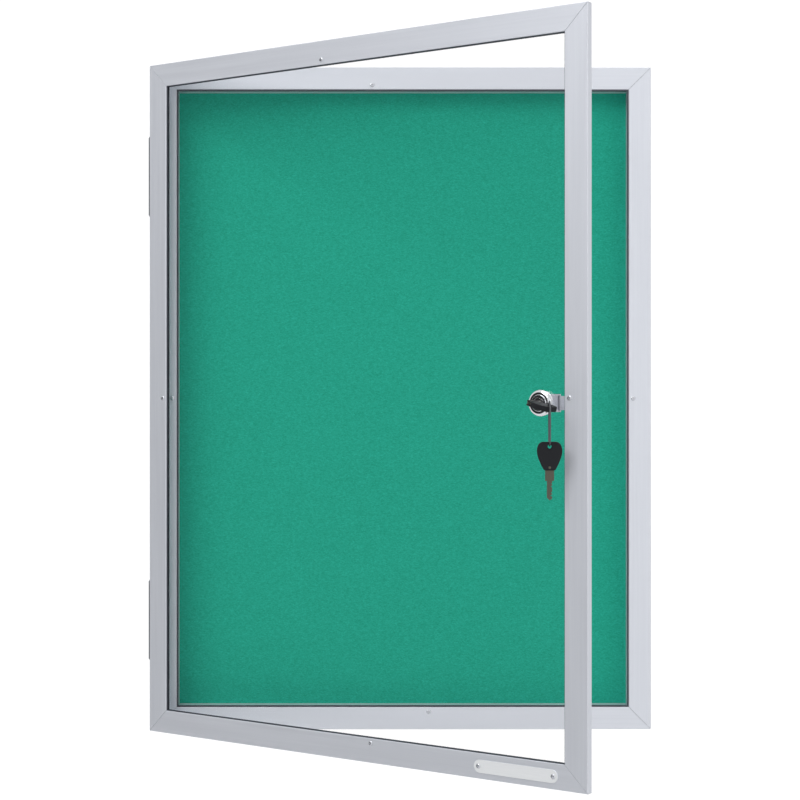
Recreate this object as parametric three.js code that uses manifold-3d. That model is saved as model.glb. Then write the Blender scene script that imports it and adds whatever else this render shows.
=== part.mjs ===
// Lockable notice board: a shallow aluminium case with a felt pinning surface and a glazed, hinged door
// with a key lock. Millimetres, +Z up, front towards -Y, back face on y = 0, origin at its centre.
// The door is stored as it stands open. Its parts are built closed and turned about the hinge pins.
import * as THREE from "three";
import { mergeVertices } from "three/addons/utils/BufferGeometryUtils.js";
import Module from "manifold-3d";

const wasm = await Module();
wasm.setup();

// Driving sizes of the whole board
const BOARD_WIDTH = 457;
const BOARD_HEIGHT = 610;
const CASE_DEPTH = 30;
const DOOR_DEPTH = 6;
const FACE_WIDTH = 20.5;
const DOOR_GAP = 1.2;
const FIT_GAP = 0.3;
const CUT_OVERRUN = 2;
const DOOR_OPEN = THREE.MathUtils.degToRad(35);

// Case extrusion
const CASE_WALL = 1.5;
const BACK_LIP_WIDTH = 6;
const BACK_LIP_THICKNESS = 1.2;
const EDGE_CHAMFER = 0.4;
const MITRE_GAP = 0.15;

// Panels in the case, from the back
const PANEL_GAP = 0.05;
const BACK_THICKNESS = 3;
const CORE_THICKNESS = 5;
const FELT_THICKNESS = 1.2;
const SEAL_WIDTH = 1.2;
const SEAL_DEPTH = 3.6;

// Door extrusion, glazing and gasket
const DOOR_WALL = 0.9;
const DOOR_CHAMBER_WIDTH = 12;
const SHEET_THICKNESS = 2;
const GASKET_SHOW = 0.7;
const GASKET_WEB = 1.4;

// Corner keys
const KEY_LEG = 42;
const CASE_KEY_THICKNESS = 5;

// Rivets and small screws
const RIVET_HEAD = 4.2;
const RIVET_DOME = 0.8;
const RIVET_SHANK = 2.4;
const RIVET_BORE = 1.3;
const BLIND_DOME_SHARES = [[0.86, 0.6], [0.55, 1]];
const SOLID_DOME_SHARES = [[0.8, 0.7]];
const RIVET_FROM_INNER_EDGE = 4.2;
const CASE_TOP_RIVET_X = -28;
const CASE_BOTTOM_RIVET_X = 24;
const DOOR_TOP_RIVET_X = -30;
const DOOR_BOTTOM_RIVET_X = 22;

// Butt hinges
const HINGE_LENGTH = 75;
const HINGE_FROM_END = 64;
const LEAF_THICKNESS = 1;
const CASE_LEAF_WIDTH = 18;
const DOOR_LEAF_WIDTH = 6.2;
const KNUCKLE_DIAMETER = 4.2;
const PIN_DIAMETER = 2;
const KNUCKLE_COUNT = 5;
const HINGE_RIVET_PITCH = 30;
const HINGE_RIVET_HEAD = 3.2;
const HINGE_RIVET_SHANK = 1.6;

// Nameplate, left blank
const PLATE_LENGTH = 77;
const PLATE_HEIGHT = 10.5;
const PLATE_THICKNESS = 0.6;
const PLATE_RIVET_PITCH = 69;
const PLATE_FROM_LOCK_EDGE = 65;

// Hanger plates on the back
const HANGER_WIDTH = 22;
const HANGER_HEIGHT = 44;
const HANGER_THICKNESS = 1.5;
const HANGER_FROM_SIDE = 70;
const KEYHOLE_DIAMETER = 9;
const KEYHOLE_SLOT = 4.6;
const KEYHOLE_RISE = 11;
const KEYHOLE_CLEARANCE = 2.2;
const HANGER_SCREW = 6.5;
const HANGER_SCREW_FROM_FOOT = 7.3;
const HANGER_SCREW_SINK = 0.9;

// Lock: depths run backwards from the front face of the door
const LOCK_FROM_EDGE = 42;
const LOCK_DROP = 4;
const HEAD_DIAMETER = 21;
const HEAD_PROUD = 3.5;
const BARREL_DIAMETER = 12;
const BARREL_END = 12;
const PLUG_DIAMETER = 8.4;
const HOUSING_LENGTH = 18;
const HOUSING_WALL = 1.2;
const BOLT_HEIGHT = 11;
const BOLT_THICKNESS = 1.6;
const BOLT_REACH = 19.6;
const BOLT_TAIL = 8.3;
const BOLT_CRANK = 2.5;
const DRIVE_PIN_OFFSET = 4.2;
const DISC_THICKNESS = 1.3;
const DISC_DIAMETER = 11;
const DRIVE_PIN_DIAMETER = 2.2;
const DRIVE_PIN_CLEARANCE = 0.4;
const STRIKE_CLEARANCE = 1.7;

// Folding keys and the wire loop
const KEY_TILT = THREE.MathUtils.degToRad(15);
const BLADE_LENGTH = 15;
const BLADE_WIDTH = 4;
const BLADE_THICKNESS = 1.7;
const SHOULDER_LENGTH = 8;
const SHOULDER_WIDTH = 6.8;
const BOW_LENGTH = 22;
const BOW_WIDTH = 19.4;
const BOW_NECK = 8.6;
const BOW_THICKNESS = 4.2;
const BOW_CORNER = 5;
const BOW_SHARES = { shoulder: 0.34, swell: 1.25, run: 0.6, round: 0.4, turn: 0.5 };
const PIVOT_DIAMETER = 2;
const PIVOT_FROM_NECK = 2.2;
const LOOP_HOLE = 3.2;
const LOOP_HOLE_FROM_END = 3.6;
const LOOP_WIRE = 1.2;
const LOOP_RADIUS = 5.8;
const LOOP_STRAIGHT = 22.5;
const LOOP_RISE = 0.3;
const WIRE_SIDES = 8;
const LOOP_STEPS = 9;

// Round pieces: number of sides
const ROUND_SIDES = 24;
const SMALL_SIDES = 14;

const MATERIALS = {
  aluminium: { color: 0xcdd1dc, roughness: 0.38, metalness: 0.75 },
  casting: { color: 0x8a8d92, roughness: 0.5, metalness: 0.8 },
  felt: { color: 0x22977d, roughness: 0.95, metalness: 0 },
  softboard: { color: 0x8c7452, roughness: 0.9, metalness: 0 },
  backing: { color: 0xb9bcc0, roughness: 0.6, metalness: 0.3 },
  rubber: { color: 0x33363c, roughness: 0.8, metalness: 0 },
  clear: { color: 0xf2f6f7, roughness: 0.05, metalness: 0, transparent: true, opacity: 0.12 },
  steel: { color: 0x86888c, roughness: 0.45, metalness: 0.85 },
  zinc: { color: 0xb4b6bf, roughness: 0.45, metalness: 0.6 },
  bright: { color: 0xdadce0, roughness: 0.25, metalness: 0.9 },
  chrome: { color: 0xe6e7ea, roughness: 0.08, metalness: 1 },
  plate: { color: 0xd9dcdf, roughness: 0.35, metalness: 0.6 },
  bow: { color: 0x17191d, roughness: 0.45, metalness: 0 },
  nickel: { color: 0x55544a, roughness: 0.4, metalness: 0.8 },
};

const root = new THREE.Group();

// Adds one named piece to a group.
function addPiece(group, name, geometry, finish) {
  const mesh = new THREE.Mesh(geometry, new THREE.MeshStandardMaterial(MATERIALS[finish]));
  mesh.name = name;
  group.add(mesh);
  return mesh;
}

// A closed geometry as a solid that can be joined and cut.
function toSolid(geometry) {
  const bare = geometry.clone();
  bare.deleteAttribute("normal");
  bare.deleteAttribute("uv");
  const merged = mergeVertices(bare);
  const index = merged.index.array;
  const mesh = new wasm.Mesh({
    numProp: 3,
    vertProperties: merged.attributes.position.array,
    triVerts: new Uint32Array(index),
  });
  return new wasm.Manifold(mesh);
}

// A solid as a geometry with flat-shaded normals.
function toGeometry(solid) {
  const mesh = solid.getMesh();
  const geometry = new THREE.BufferGeometry();
  geometry.setAttribute("position", new THREE.BufferAttribute(mesh.vertProperties, 3));
  geometry.setIndex(new THREE.BufferAttribute(mesh.triVerts, 1));
  geometry.computeVertexNormals();
  return geometry;
}

// The first geometry with the cuts taken out of it.
function cut(base, ...cuts) {
  let solid = toSolid(base);
  for (const piece of cuts) solid = solid.subtract(toSolid(piece));
  return toGeometry(solid);
}

// Several overlapping geometries joined into one.
function join(base, ...others) {
  let solid = toSolid(base);
  for (const piece of others) solid = solid.add(toSolid(piece));
  return toGeometry(solid);
}

// A box between two corners.
function boxBetween(low, high) {
  const size = high.map((value, i) => value - low[i]);
  const geometry = new THREE.BoxGeometry(...size);
  return geometry.translate(...low.map((value, i) => value + size[i] / 2));
}

// A cylinder along y, from one y to another, at a place in x and z.
function rodAlongY(diameter, yStart, yEnd, x, z, sides = ROUND_SIDES) {
  const length = Math.abs(yEnd - yStart);
  const geometry = new THREE.CylinderGeometry(diameter / 2, diameter / 2, length, sides);
  return geometry.translate(x, (yStart + yEnd) / 2, z);
}

// An outline in (x, z) given as points, extruded along y from yFront back by a thickness.
function plateInXZ(shape, yFront, thickness) {
  const geometry = new THREE.ExtrudeGeometry(shape, { depth: thickness, bevelEnabled: false, curveSegments: 6 });
  return geometry.rotateX(Math.PI / 2).translate(0, yFront + thickness, 0);
}

// A shape from a list of [x, y] points.
function polygon(points) {
  return new THREE.Shape(points.map(([x, y]) => new THREE.Vector2(x, y)));
}

// A rectangle with a rectangular hole, as a shape.
function frameShape(outerX, outerZ, innerX, innerZ) {
  const shape = polygon([[-outerX, -outerZ], [outerX, -outerZ], [outerX, outerZ], [-outerX, outerZ]]);
  shape.holes.push(polygon([[-innerX, -innerZ], [-innerX, innerZ], [innerX, innerZ], [innerX, -innerZ]]));
  return shape;
}

const HALF_WIDTH = BOARD_WIDTH / 2;
const HALF_HEIGHT = BOARD_HEIGHT / 2;
const HINGE_X = -HALF_WIDTH - FIT_GAP - KNUCKLE_DIAMETER / 2;
const HINGE_Y = -CASE_DEPTH - DOOR_GAP / 2;
const DOOR_BACK = -CASE_DEPTH - DOOR_GAP;
const DOOR_FRONT = DOOR_BACK - DOOR_DEPTH;
const PANEL_STACK = BACK_THICKNESS + CORE_THICKNESS + FELT_THICKNESS + 3 * PANEL_GAP;

// Everything on the door is built closed inside this group, whose own frame turns about the hinge pins.
const doorTurn = new THREE.Group();
doorTurn.position.set(HINGE_X, HINGE_Y, 0);
doorTurn.rotation.z = -DOOR_OPEN;
const door = new THREE.Group();
door.position.set(-HINGE_X, -HINGE_Y, 0);
doorTurn.add(door);
root.add(doorTurn);

// One mitred member. The section is drawn in u, inwards from the outer edge, and v, forwards from the back.
// Each end is cut at 45 degrees by pulling its corners in by their own u.
function mitredMember(section, length) {
  const geometry = new THREE.ExtrudeGeometry(section, { depth: length, bevelEnabled: false });
  const place = geometry.attributes.position;
  for (let i = 0; i < place.count; i += 1) {
    const inset = place.getX(i) + MITRE_GAP;
    const along = place.getZ(i) > length / 2 ? length / 2 - inset : inset - length / 2;
    place.setZ(i, along);
  }
  geometry.computeVertexNormals();
  return geometry;
}

// The four members of a frame, each with its outer edge on the board's edge and its back on yBack.
// The name's place follows the turn that carries a bottom rail round the frame.
function frameMembers(section, yBack) {
  const sides = [
    { side: "rail_bottom", length: BOARD_WIDTH, reach: HALF_HEIGHT, turn: 0 },
    { side: "stile_right", length: BOARD_HEIGHT, reach: HALF_WIDTH, turn: 1 },
    { side: "rail_top", length: BOARD_WIDTH, reach: HALF_HEIGHT, turn: 2 },
    { side: "stile_left", length: BOARD_HEIGHT, reach: HALF_WIDTH, turn: 3 },
  ];
  return sides.map(({ side, length, reach, turn }) => {
    const geometry = mitredMember(section, length);
    const axes = new THREE.Matrix4().makeBasis(
      new THREE.Vector3(0, 0, 1),
      new THREE.Vector3(0, -1, 0),
      new THREE.Vector3(1, 0, 0),
    );
    geometry.applyMatrix4(axes).translate(0, 0, -reach);
    geometry.rotateY((-turn * Math.PI) / 2).translate(0, yBack, 0);
    return { side, geometry };
  });
}

// A corner key: an L of two mitre legs, for the corner at (+, +), from its outer edges at an inset.
function cornerKeyShape(inset, width) {
  const x = HALF_WIDTH - inset;
  const z = HALF_HEIGHT - inset;
  return polygon([
    [x, z], [x - KEY_LEG, z], [x - KEY_LEG, z - width], [x - width, z - width],
    [x - width, z - KEY_LEG], [x, z - KEY_LEG],
  ]);
}

// Four corner keys of one kind, mirrored into the four corners by half turns and flips of the outline.
function addCornerKeys(group, prefix, inset, width, yFront, thickness) {
  const corners = [[1, 1], [-1, 1], [-1, -1], [1, -1]];
  corners.forEach(([signX, signZ], i) => {
    const points = cornerKeyShape(inset, width).getPoints().map((p) => [p.x * signX, p.y * signZ]);
    addPiece(group, `${prefix}_${i + 1}`, plateInXZ(polygon(points), yFront, thickness), "casting");
  });
}

// A blind rivet along y with its domed, dimpled head at yFace, facing the front.
function blindRivet(x, z, yFace, shank) {
  const head = RIVET_HEAD / 2;
  const bore = RIVET_BORE / 2;
  const radius = RIVET_SHANK / 2;
  const profile = [
    [0, -shank], [radius, -shank], [radius, 0], [head, 0],
    ...BLIND_DOME_SHARES.map(([out, up]) => [head * out, RIVET_DOME * up]),
    [bore, RIVET_DOME], [bore, 0], [0, 0],
  ];
  const points = profile.map(([r, h]) => new THREE.Vector2(r, h));
  const geometry = new THREE.LatheGeometry(points, SMALL_SIDES);
  return geometry.rotateX(Math.PI).translate(x, yFace, z);
}

// The hole that such a rivet sits in.
function rivetHole(x, z, yFace, depth) {
  const diameter = RIVET_SHANK + 2 * PANEL_GAP;
  return rodAlongY(diameter, yFace - CUT_OVERRUN, yFace + depth, x, z, SMALL_SIDES);
}

// Places of the four mid-member rivets, by member.
function rivetPlaces(topX, bottomX) {
  const inset = FACE_WIDTH - RIVET_FROM_INNER_EDGE;
  return {
    rail_top: [topX, HALF_HEIGHT - inset],
    rail_bottom: [bottomX, -HALF_HEIGHT + inset],
    stile_left: [-HALF_WIDTH + inset, 0],
    stile_right: [HALF_WIDTH - inset, 0],
  };
}

// Case frame
const webFront = PANEL_STACK + PANEL_GAP + CASE_WALL;
const caseSection = polygon([
  [0, 0], [CASE_WALL + BACK_LIP_WIDTH, 0], [CASE_WALL + BACK_LIP_WIDTH, BACK_LIP_THICKNESS],
  [CASE_WALL, BACK_LIP_THICKNESS], [CASE_WALL, PANEL_STACK + PANEL_GAP],
  [FACE_WIDTH, PANEL_STACK + PANEL_GAP], [FACE_WIDTH, CASE_DEPTH - EDGE_CHAMFER],
  [FACE_WIDTH - EDGE_CHAMFER, CASE_DEPTH], [EDGE_CHAMFER, CASE_DEPTH], [0, CASE_DEPTH - EDGE_CHAMFER],
]);
caseSection.holes.push(polygon([
  [CASE_WALL, webFront], [CASE_WALL, CASE_DEPTH - CASE_WALL],
  [FACE_WIDTH - CASE_WALL, CASE_DEPTH - CASE_WALL], [FACE_WIDTH - CASE_WALL, webFront],
]));
const casePlaces = rivetPlaces(CASE_TOP_RIVET_X, CASE_BOTTOM_RIVET_X);
const boltDepth = BARREL_END + FIT_GAP * 2 + DISC_THICKNESS;
const boltTipDepth = boltDepth + BOLT_CRANK;
const strikeFront = DOOR_FRONT + boltTipDepth - STRIKE_CLEARANCE;
const strikeBack = DOOR_FRONT + boltTipDepth + BOLT_THICKNESS + STRIKE_CLEARANCE;
const strikeHalf = BOLT_HEIGHT / 2 + STRIKE_CLEARANCE;
const strikeSlot = boxBetween(
  [HALF_WIDTH - FACE_WIDTH - CUT_OVERRUN, strikeFront, -LOCK_DROP - strikeHalf],
  [HALF_WIDTH - FACE_WIDTH + CASE_WALL + CUT_OVERRUN, strikeBack, -LOCK_DROP + strikeHalf],
);
for (const { side, geometry } of frameMembers(caseSection, 0)) {
  const [x, z] = casePlaces[side];
  const cuts = [rivetHole(x, z, -CASE_DEPTH, CASE_WALL + CUT_OVERRUN)];
  if (side === "stile_right") cuts.push(strikeSlot);
  addPiece(root, `case_${side}`, cut(geometry, ...cuts), "aluminium");
  addPiece(root, `case_rivet_${side}`, blindRivet(x, z, -CASE_DEPTH - PANEL_GAP, CASE_WALL * 2), "bright");
}
const caseKeyWidth = FACE_WIDTH - 2 * CASE_WALL - 2 * FIT_GAP;
addCornerKeys(root, "case_corner_key", CASE_WALL + FIT_GAP, caseKeyWidth,
  -CASE_DEPTH + CASE_WALL + FIT_GAP, CASE_KEY_THICKNESS);

// Panels
const panelX = HALF_WIDTH - CASE_WALL - FIT_GAP;
const panelZ = HALF_HEIGHT - CASE_WALL - FIT_GAP;
const stepX = panelX - BACK_LIP_WIDTH - FIT_GAP;
const stepZ = panelZ - BACK_LIP_WIDTH - FIT_GAP;
const stepDepth = BACK_LIP_THICKNESS + PANEL_GAP;
const coreBack = -BACK_THICKNESS - PANEL_GAP;
const coreFront = coreBack - CORE_THICKNESS;
const feltBack = coreFront - PANEL_GAP;
const feltFront = feltBack - FELT_THICKNESS;

// A countersunk screw driven in from the back at (x, z), its head flush with y = 0. The same form, grown
// by a gap all round, makes its hole.
function hangerScrew(x, z, gap) {
  const radius = RIVET_SHANK / 2 + gap;
  const head = RIVET_HEAD / 2 + gap;
  const sink = HANGER_SCREW_SINK;
  const top = gap > 0 ? CUT_OVERRUN : 0;
  const end = -HANGER_SCREW - gap;
  const profile = [[0, end], [radius, end], [radius, -sink], [head, 0], [head, top]];
  const points = profile.map(([r, h]) => new THREE.Vector2(r, h));
  if (gap === 0) points.pop();
  points.push(new THREE.Vector2(0, top));
  return new THREE.LatheGeometry(points, SMALL_SIDES).translate(x, 0, z);
}

// A hanger plate with a keyhole, sunk flush into the back panel, and what it needs cut away for it.
function hanger(side, x) {
  const half = HANGER_WIDTH / 2;
  const top = HALF_HEIGHT - FACE_WIDTH - HANGER_WIDTH;
  const foot = top - HANGER_HEIGHT;
  const middle = (top + foot) / 2;
  const round = KEYHOLE_DIAMETER / 2;
  const slot = KEYHOLE_SLOT / 2;
  const slotTop = middle + KEYHOLE_RISE;
  const start = Math.asin(slot / round);
  const shape = polygon([[x - half, foot], [x + half, foot], [x + half, top], [x - half, top]]);
  const hole = new THREE.Path();
  hole.moveTo(x - slot, slotTop);
  hole.absarc(x, middle, round, Math.PI / 2 + start, Math.PI * 2.5 - start, false);
  hole.lineTo(x + slot, slotTop);
  hole.absarc(x, slotTop, slot, 0, Math.PI, false);
  shape.holes.push(hole);
  const screwZ = foot + HANGER_SCREW_FROM_FOOT;
  const clear = round + KEYHOLE_CLEARANCE;
  const plate = cut(plateInXZ(shape, -HANGER_THICKNESS, HANGER_THICKNESS), hangerScrew(x, screwZ, PANEL_GAP * 2));
  addPiece(root, `hanger_plate_${side}`, plate, "steel");
  addPiece(root, `hanger_screw_${side}`, hangerScrew(x, screwZ, 0), "bright");
  const pocketDepth = HANGER_THICKNESS + PANEL_GAP;
  return {
    pocket: boxBetween(
      [x - half - FIT_GAP, -pocketDepth, foot - FIT_GAP],
      [x + half + FIT_GAP, CUT_OVERRUN, top + FIT_GAP],
    ),
    window: boxBetween(
      [x - clear, -BACK_THICKNESS - CUT_OVERRUN, middle - clear],
      [x + clear, CUT_OVERRUN, slotTop + clear],
    ),
    screw: hangerScrew(x, screwZ, PANEL_GAP * 2),
  };
}
const hangers = [
  hanger("left", -HALF_WIDTH + HANGER_FROM_SIDE),
  hanger("right", HALF_WIDTH - HANGER_FROM_SIDE),
];
const backSheet = cut(
  join(
    boxBetween([-panelX, -BACK_THICKNESS, -panelZ], [panelX, -stepDepth, panelZ]),
    boxBetween([-stepX, -BACK_THICKNESS, -stepZ], [stepX, 0, stepZ]),
  ),
  ...hangers.flatMap(({ pocket, window, screw }) => [pocket, window, screw]),
);
addPiece(root, "back_panel", backSheet, "backing");
const core = boxBetween([-panelX, coreFront, -panelZ], [panelX, coreBack, panelZ]);
addPiece(root, "softboard_core", cut(core, ...hangers.map(({ screw }) => screw)), "softboard");
addPiece(root, "felt_facing", boxBetween([-panelX, feltFront, -panelZ], [panelX, feltBack, panelZ]), "felt");

// Seal strip on the inner edge of the case
const sealOuterX = HALF_WIDTH - FACE_WIDTH - PANEL_GAP;
const sealOuterZ = HALF_HEIGHT - FACE_WIDTH - PANEL_GAP;
const sealShape = frameShape(sealOuterX, sealOuterZ, sealOuterX - SEAL_WIDTH, sealOuterZ - SEAL_WIDTH);
addPiece(root, "case_seal", plateInXZ(sealShape, -CASE_DEPTH + PANEL_GAP * 4, SEAL_DEPTH), "rubber");

// Butt hinges: a leaf flat on each side face, rolled into knuckles that take turns on one pin
const knuckleGap = FIT_GAP / 2;
const knucklePitch = HINGE_LENGTH / KNUCKLE_COUNT;

// One leaf. Knuckles with an even index belong to the case leaf. The leaf runs from the pin along y
// in the direction given, and is cut back round the other leaf's knuckles.
function hingeLeaf(zMiddle, direction, width, firstKnuckle) {
  const radius = KNUCKLE_DIAMETER / 2;
  const foot = zMiddle - HINGE_LENGTH / 2;
  const inner = HINGE_X + radius;
  const corner = LEAF_THICKNESS * 2;
  const start = HINGE_Y + direction * DOOR_GAP;
  const end = HINGE_Y + direction * width;
  const outline = [
    [start, foot], [end - direction * corner, foot], [end, foot + corner],
    [end, foot + HINGE_LENGTH - corner], [end - direction * corner, foot + HINGE_LENGTH],
    [start, foot + HINGE_LENGTH],
  ];
  const flap = new THREE.ExtrudeGeometry(polygon(outline), { depth: LEAF_THICKNESS, bevelEnabled: false });
  flap.applyMatrix4(new THREE.Matrix4().makeBasis(
    new THREE.Vector3(0, 1, 0), new THREE.Vector3(0, 0, 1), new THREE.Vector3(1, 0, 0),
  )).translate(inner - LEAF_THICKNESS, 0, 0);
  let solid = toSolid(flap);
  for (let i = 0; i < KNUCKLE_COUNT; i += 1) {
    const own = i % 2 === firstKnuckle;
    const low = foot + i * knucklePitch + (i === 0 ? 0 : knuckleGap);
    const high = foot + (i + 1) * knucklePitch - (i === KNUCKLE_COUNT - 1 ? 0 : knuckleGap);
    const middle = (low + high) / 2;
    if (own) {
      const roll = new THREE.CylinderGeometry(radius, radius, high - low, ROUND_SIDES);
      roll.rotateX(Math.PI / 2).translate(HINGE_X, HINGE_Y, middle);
      solid = solid.add(toSolid(roll));
      const near = HINGE_Y;
      const far = start + direction * LEAF_THICKNESS;
      const web = boxBetween(
        [inner - LEAF_THICKNESS, Math.min(near, far), low],
        [inner, Math.max(near, far), high],
      );
      solid = solid.add(toSolid(web));
    } else {
      const near = HINGE_Y - direction * CUT_OVERRUN;
      const far = HINGE_Y + direction * (radius + FIT_GAP);
      const notch = boxBetween(
        [inner - LEAF_THICKNESS - CUT_OVERRUN, Math.min(near, far), low - 2 * knuckleGap],
        [inner + CUT_OVERRUN, Math.max(near, far), high + 2 * knuckleGap],
      );
      solid = solid.subtract(toSolid(notch));
    }
  }
  const bore = new THREE.CylinderGeometry(PIN_DIAMETER / 2 + knuckleGap, PIN_DIAMETER / 2 + knuckleGap,
    HINGE_LENGTH + CUT_OVERRUN, ROUND_SIDES);
  bore.rotateX(Math.PI / 2).translate(HINGE_X, HINGE_Y, zMiddle);
  return solid.subtract(toSolid(bore));
}

// A rivet along x through a leaf into a side face, with its head on the leaf's outer face.
function sideRivet(y, z, gap) {
  const head = HINGE_RIVET_HEAD / 2;
  const radius = HINGE_RIVET_SHANK / 2 + gap;
  const shank = LEAF_THICKNESS + FIT_GAP + CASE_WALL + gap;
  const profile = gap > 0
    ? [[0, -shank], [radius, -shank], [radius, CUT_OVERRUN], [0, CUT_OVERRUN]]
    : [
      [0, -shank], [radius, -shank], [radius, 0], [head, 0],
      ...SOLID_DOME_SHARES.map(([out, up]) => [head * out, RIVET_DOME * up]), [0, RIVET_DOME],
    ];
  const points = profile.map(([r, h]) => new THREE.Vector2(r, h));
  const face = -HALF_WIDTH - FIT_GAP - LEAF_THICKNESS - (gap > 0 ? 0 : PANEL_GAP);
  return new THREE.LatheGeometry(points, SMALL_SIDES).rotateZ(Math.PI / 2).translate(face, y, z);
}

const caseSideCuts = [];
const doorSideCuts = [];
["upper", "lower"].forEach((place, i) => {
  const zMiddle = (i === 0 ? 1 : -1) * (HALF_HEIGHT - HINGE_FROM_END - HINGE_LENGTH / 2);
  const leaves = [
    { owner: "case", group: root, direction: 1, width: CASE_LEAF_WIDTH, first: 0, cuts: caseSideCuts },
    { owner: "door", group: door, direction: -1, width: DOOR_LEAF_WIDTH, first: 1, cuts: doorSideCuts },
  ];
  for (const { owner, group, direction, width, first, cuts } of leaves) {
    let leaf = hingeLeaf(zMiddle, direction, width, first);
    const y = HINGE_Y + direction * (width + KNUCKLE_DIAMETER / 2) / 2;
    ["top", "foot"].forEach((end, j) => {
      const z = zMiddle + (j === 0 ? 1 : -1) * HINGE_RIVET_PITCH / 2;
      const hole = sideRivet(y, z, PANEL_GAP);
      leaf = leaf.subtract(toSolid(hole));
      cuts.push(hole);
      addPiece(group, `${owner}_hinge_rivet_${place}_${end}`, sideRivet(y, z, 0), "bright");
    });
    addPiece(group, `${owner}_hinge_leaf_${place}`, toGeometry(leaf), "steel");
  }
  const pin = new THREE.CylinderGeometry(PIN_DIAMETER / 2, PIN_DIAMETER / 2, HINGE_LENGTH, ROUND_SIDES);
  addPiece(root, `hinge_pin_${place}`, pin.rotateX(Math.PI / 2).translate(HINGE_X, HINGE_Y, zMiddle), "bright");
});
const leftStile = root.getObjectByName("case_stile_left");
leftStile.geometry = cut(leftStile.geometry, ...caseSideCuts);

// Door frame
const doorSection = polygon([
  [0, 0], [FACE_WIDTH, 0], [FACE_WIDTH, DOOR_WALL], [DOOR_CHAMBER_WIDTH, DOOR_WALL],
  [DOOR_CHAMBER_WIDTH, DOOR_DEPTH - DOOR_WALL], [FACE_WIDTH, DOOR_DEPTH - DOOR_WALL],
  [FACE_WIDTH, DOOR_DEPTH - EDGE_CHAMFER], [FACE_WIDTH - EDGE_CHAMFER, DOOR_DEPTH],
  [EDGE_CHAMFER, DOOR_DEPTH], [0, DOOR_DEPTH - EDGE_CHAMFER],
]);
doorSection.holes.push(polygon([
  [DOOR_WALL, DOOR_WALL], [DOOR_WALL, DOOR_DEPTH - DOOR_WALL],
  [DOOR_CHAMBER_WIDTH - DOOR_WALL, DOOR_DEPTH - DOOR_WALL], [DOOR_CHAMBER_WIDTH - DOOR_WALL, DOOR_WALL],
]));
const doorPlaces = rivetPlaces(DOOR_TOP_RIVET_X, DOOR_BOTTOM_RIVET_X);
const plateX = HALF_WIDTH - PLATE_FROM_LOCK_EDGE;
const plateZ = -HALF_HEIGHT + FACE_WIDTH / 2;
const plateRivets = [-1, 1].map((sign) => [plateX + (sign * PLATE_RIVET_PITCH) / 2, plateZ]);
for (const { side, geometry } of frameMembers(doorSection, DOOR_BACK)) {
  const [x, z] = doorPlaces[side];
  const cuts = [rivetHole(x, z, DOOR_FRONT, DOOR_WALL + CUT_OVERRUN)];
  if (side === "stile_left") cuts.push(...doorSideCuts);
  if (side === "rail_bottom") cuts.push(...plateRivets.map(([px, pz]) => rivetHole(px, pz, DOOR_FRONT, DOOR_WALL)));
  addPiece(door, `door_${side}`, cut(geometry, ...cuts), "aluminium");
  addPiece(door, `door_rivet_${side}`, blindRivet(x, z, DOOR_FRONT - PANEL_GAP, DOOR_WALL), "bright");
}
const doorKeyInset = DOOR_WALL + FIT_GAP;
addCornerKeys(door, "door_corner_key", doorKeyInset, DOOR_CHAMBER_WIDTH - 2 * doorKeyInset,
  DOOR_FRONT + DOOR_WALL + FIT_GAP, DOOR_DEPTH - 2 * doorKeyInset);

// Blank nameplate with rounded ends, on the bottom rail
function slotShape(length, height, x, z) {
  const radius = height / 2;
  const reach = length / 2 - radius;
  const shape = new THREE.Shape();
  shape.absarc(x + reach, z, radius, -Math.PI / 2, Math.PI / 2, false);
  shape.absarc(x - reach, z, radius, Math.PI / 2, Math.PI * 1.5, false);
  return shape;
}
const plateFront = DOOR_FRONT - PANEL_GAP - PLATE_THICKNESS;
const plateBlank = plateInXZ(slotShape(PLATE_LENGTH, PLATE_HEIGHT, plateX, plateZ), plateFront, PLATE_THICKNESS);
const plateHoles = plateRivets.map(([x, z]) => rivetHole(x, z, plateFront, PLATE_THICKNESS + CUT_OVERRUN));
addPiece(door, "nameplate_blank", cut(plateBlank, ...plateHoles), "plate");
plateRivets.forEach(([x, z], i) => {
  const rivet = blindRivet(x, z, plateFront - PANEL_GAP, PLATE_THICKNESS + DOOR_WALL);
  addPiece(door, `nameplate_rivet_${i + 1}`, rivet, "bright");
});

// Glazing gasket: a channel that wraps the sheet's edge and stands a little proud of the frame's inner edge
const groove = DOOR_DEPTH - 2 * DOOR_WALL;
const gasketThickness = groove - 2 * FIT_GAP;
const gasketOuter = DOOR_CHAMBER_WIDTH + FIT_GAP;
const gasketInner = FACE_WIDTH + GASKET_SHOW;
const sheetEdge = gasketOuter + GASKET_WEB + FIT_GAP;
const grooveSlack = (groove - SHEET_THICKNESS) / 2;
const sheetFront = DOOR_FRONT + DOOR_WALL + grooveSlack;
const gasketSolid = plateInXZ(
  frameShape(HALF_WIDTH - gasketOuter, HALF_HEIGHT - gasketOuter, HALF_WIDTH - gasketInner, HALF_HEIGHT - gasketInner),
  DOOR_FRONT + DOOR_WALL + FIT_GAP,
  gasketThickness,
);
const gasketGroove = boxBetween(
  [-HALF_WIDTH + sheetEdge - FIT_GAP, sheetFront - FIT_GAP, -HALF_HEIGHT + sheetEdge - FIT_GAP],
  [HALF_WIDTH - sheetEdge + FIT_GAP, sheetFront + SHEET_THICKNESS + FIT_GAP, HALF_HEIGHT - sheetEdge + FIT_GAP],
);
addPiece(door, "glazing_gasket", cut(gasketSolid, gasketGroove), "rubber");

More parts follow.
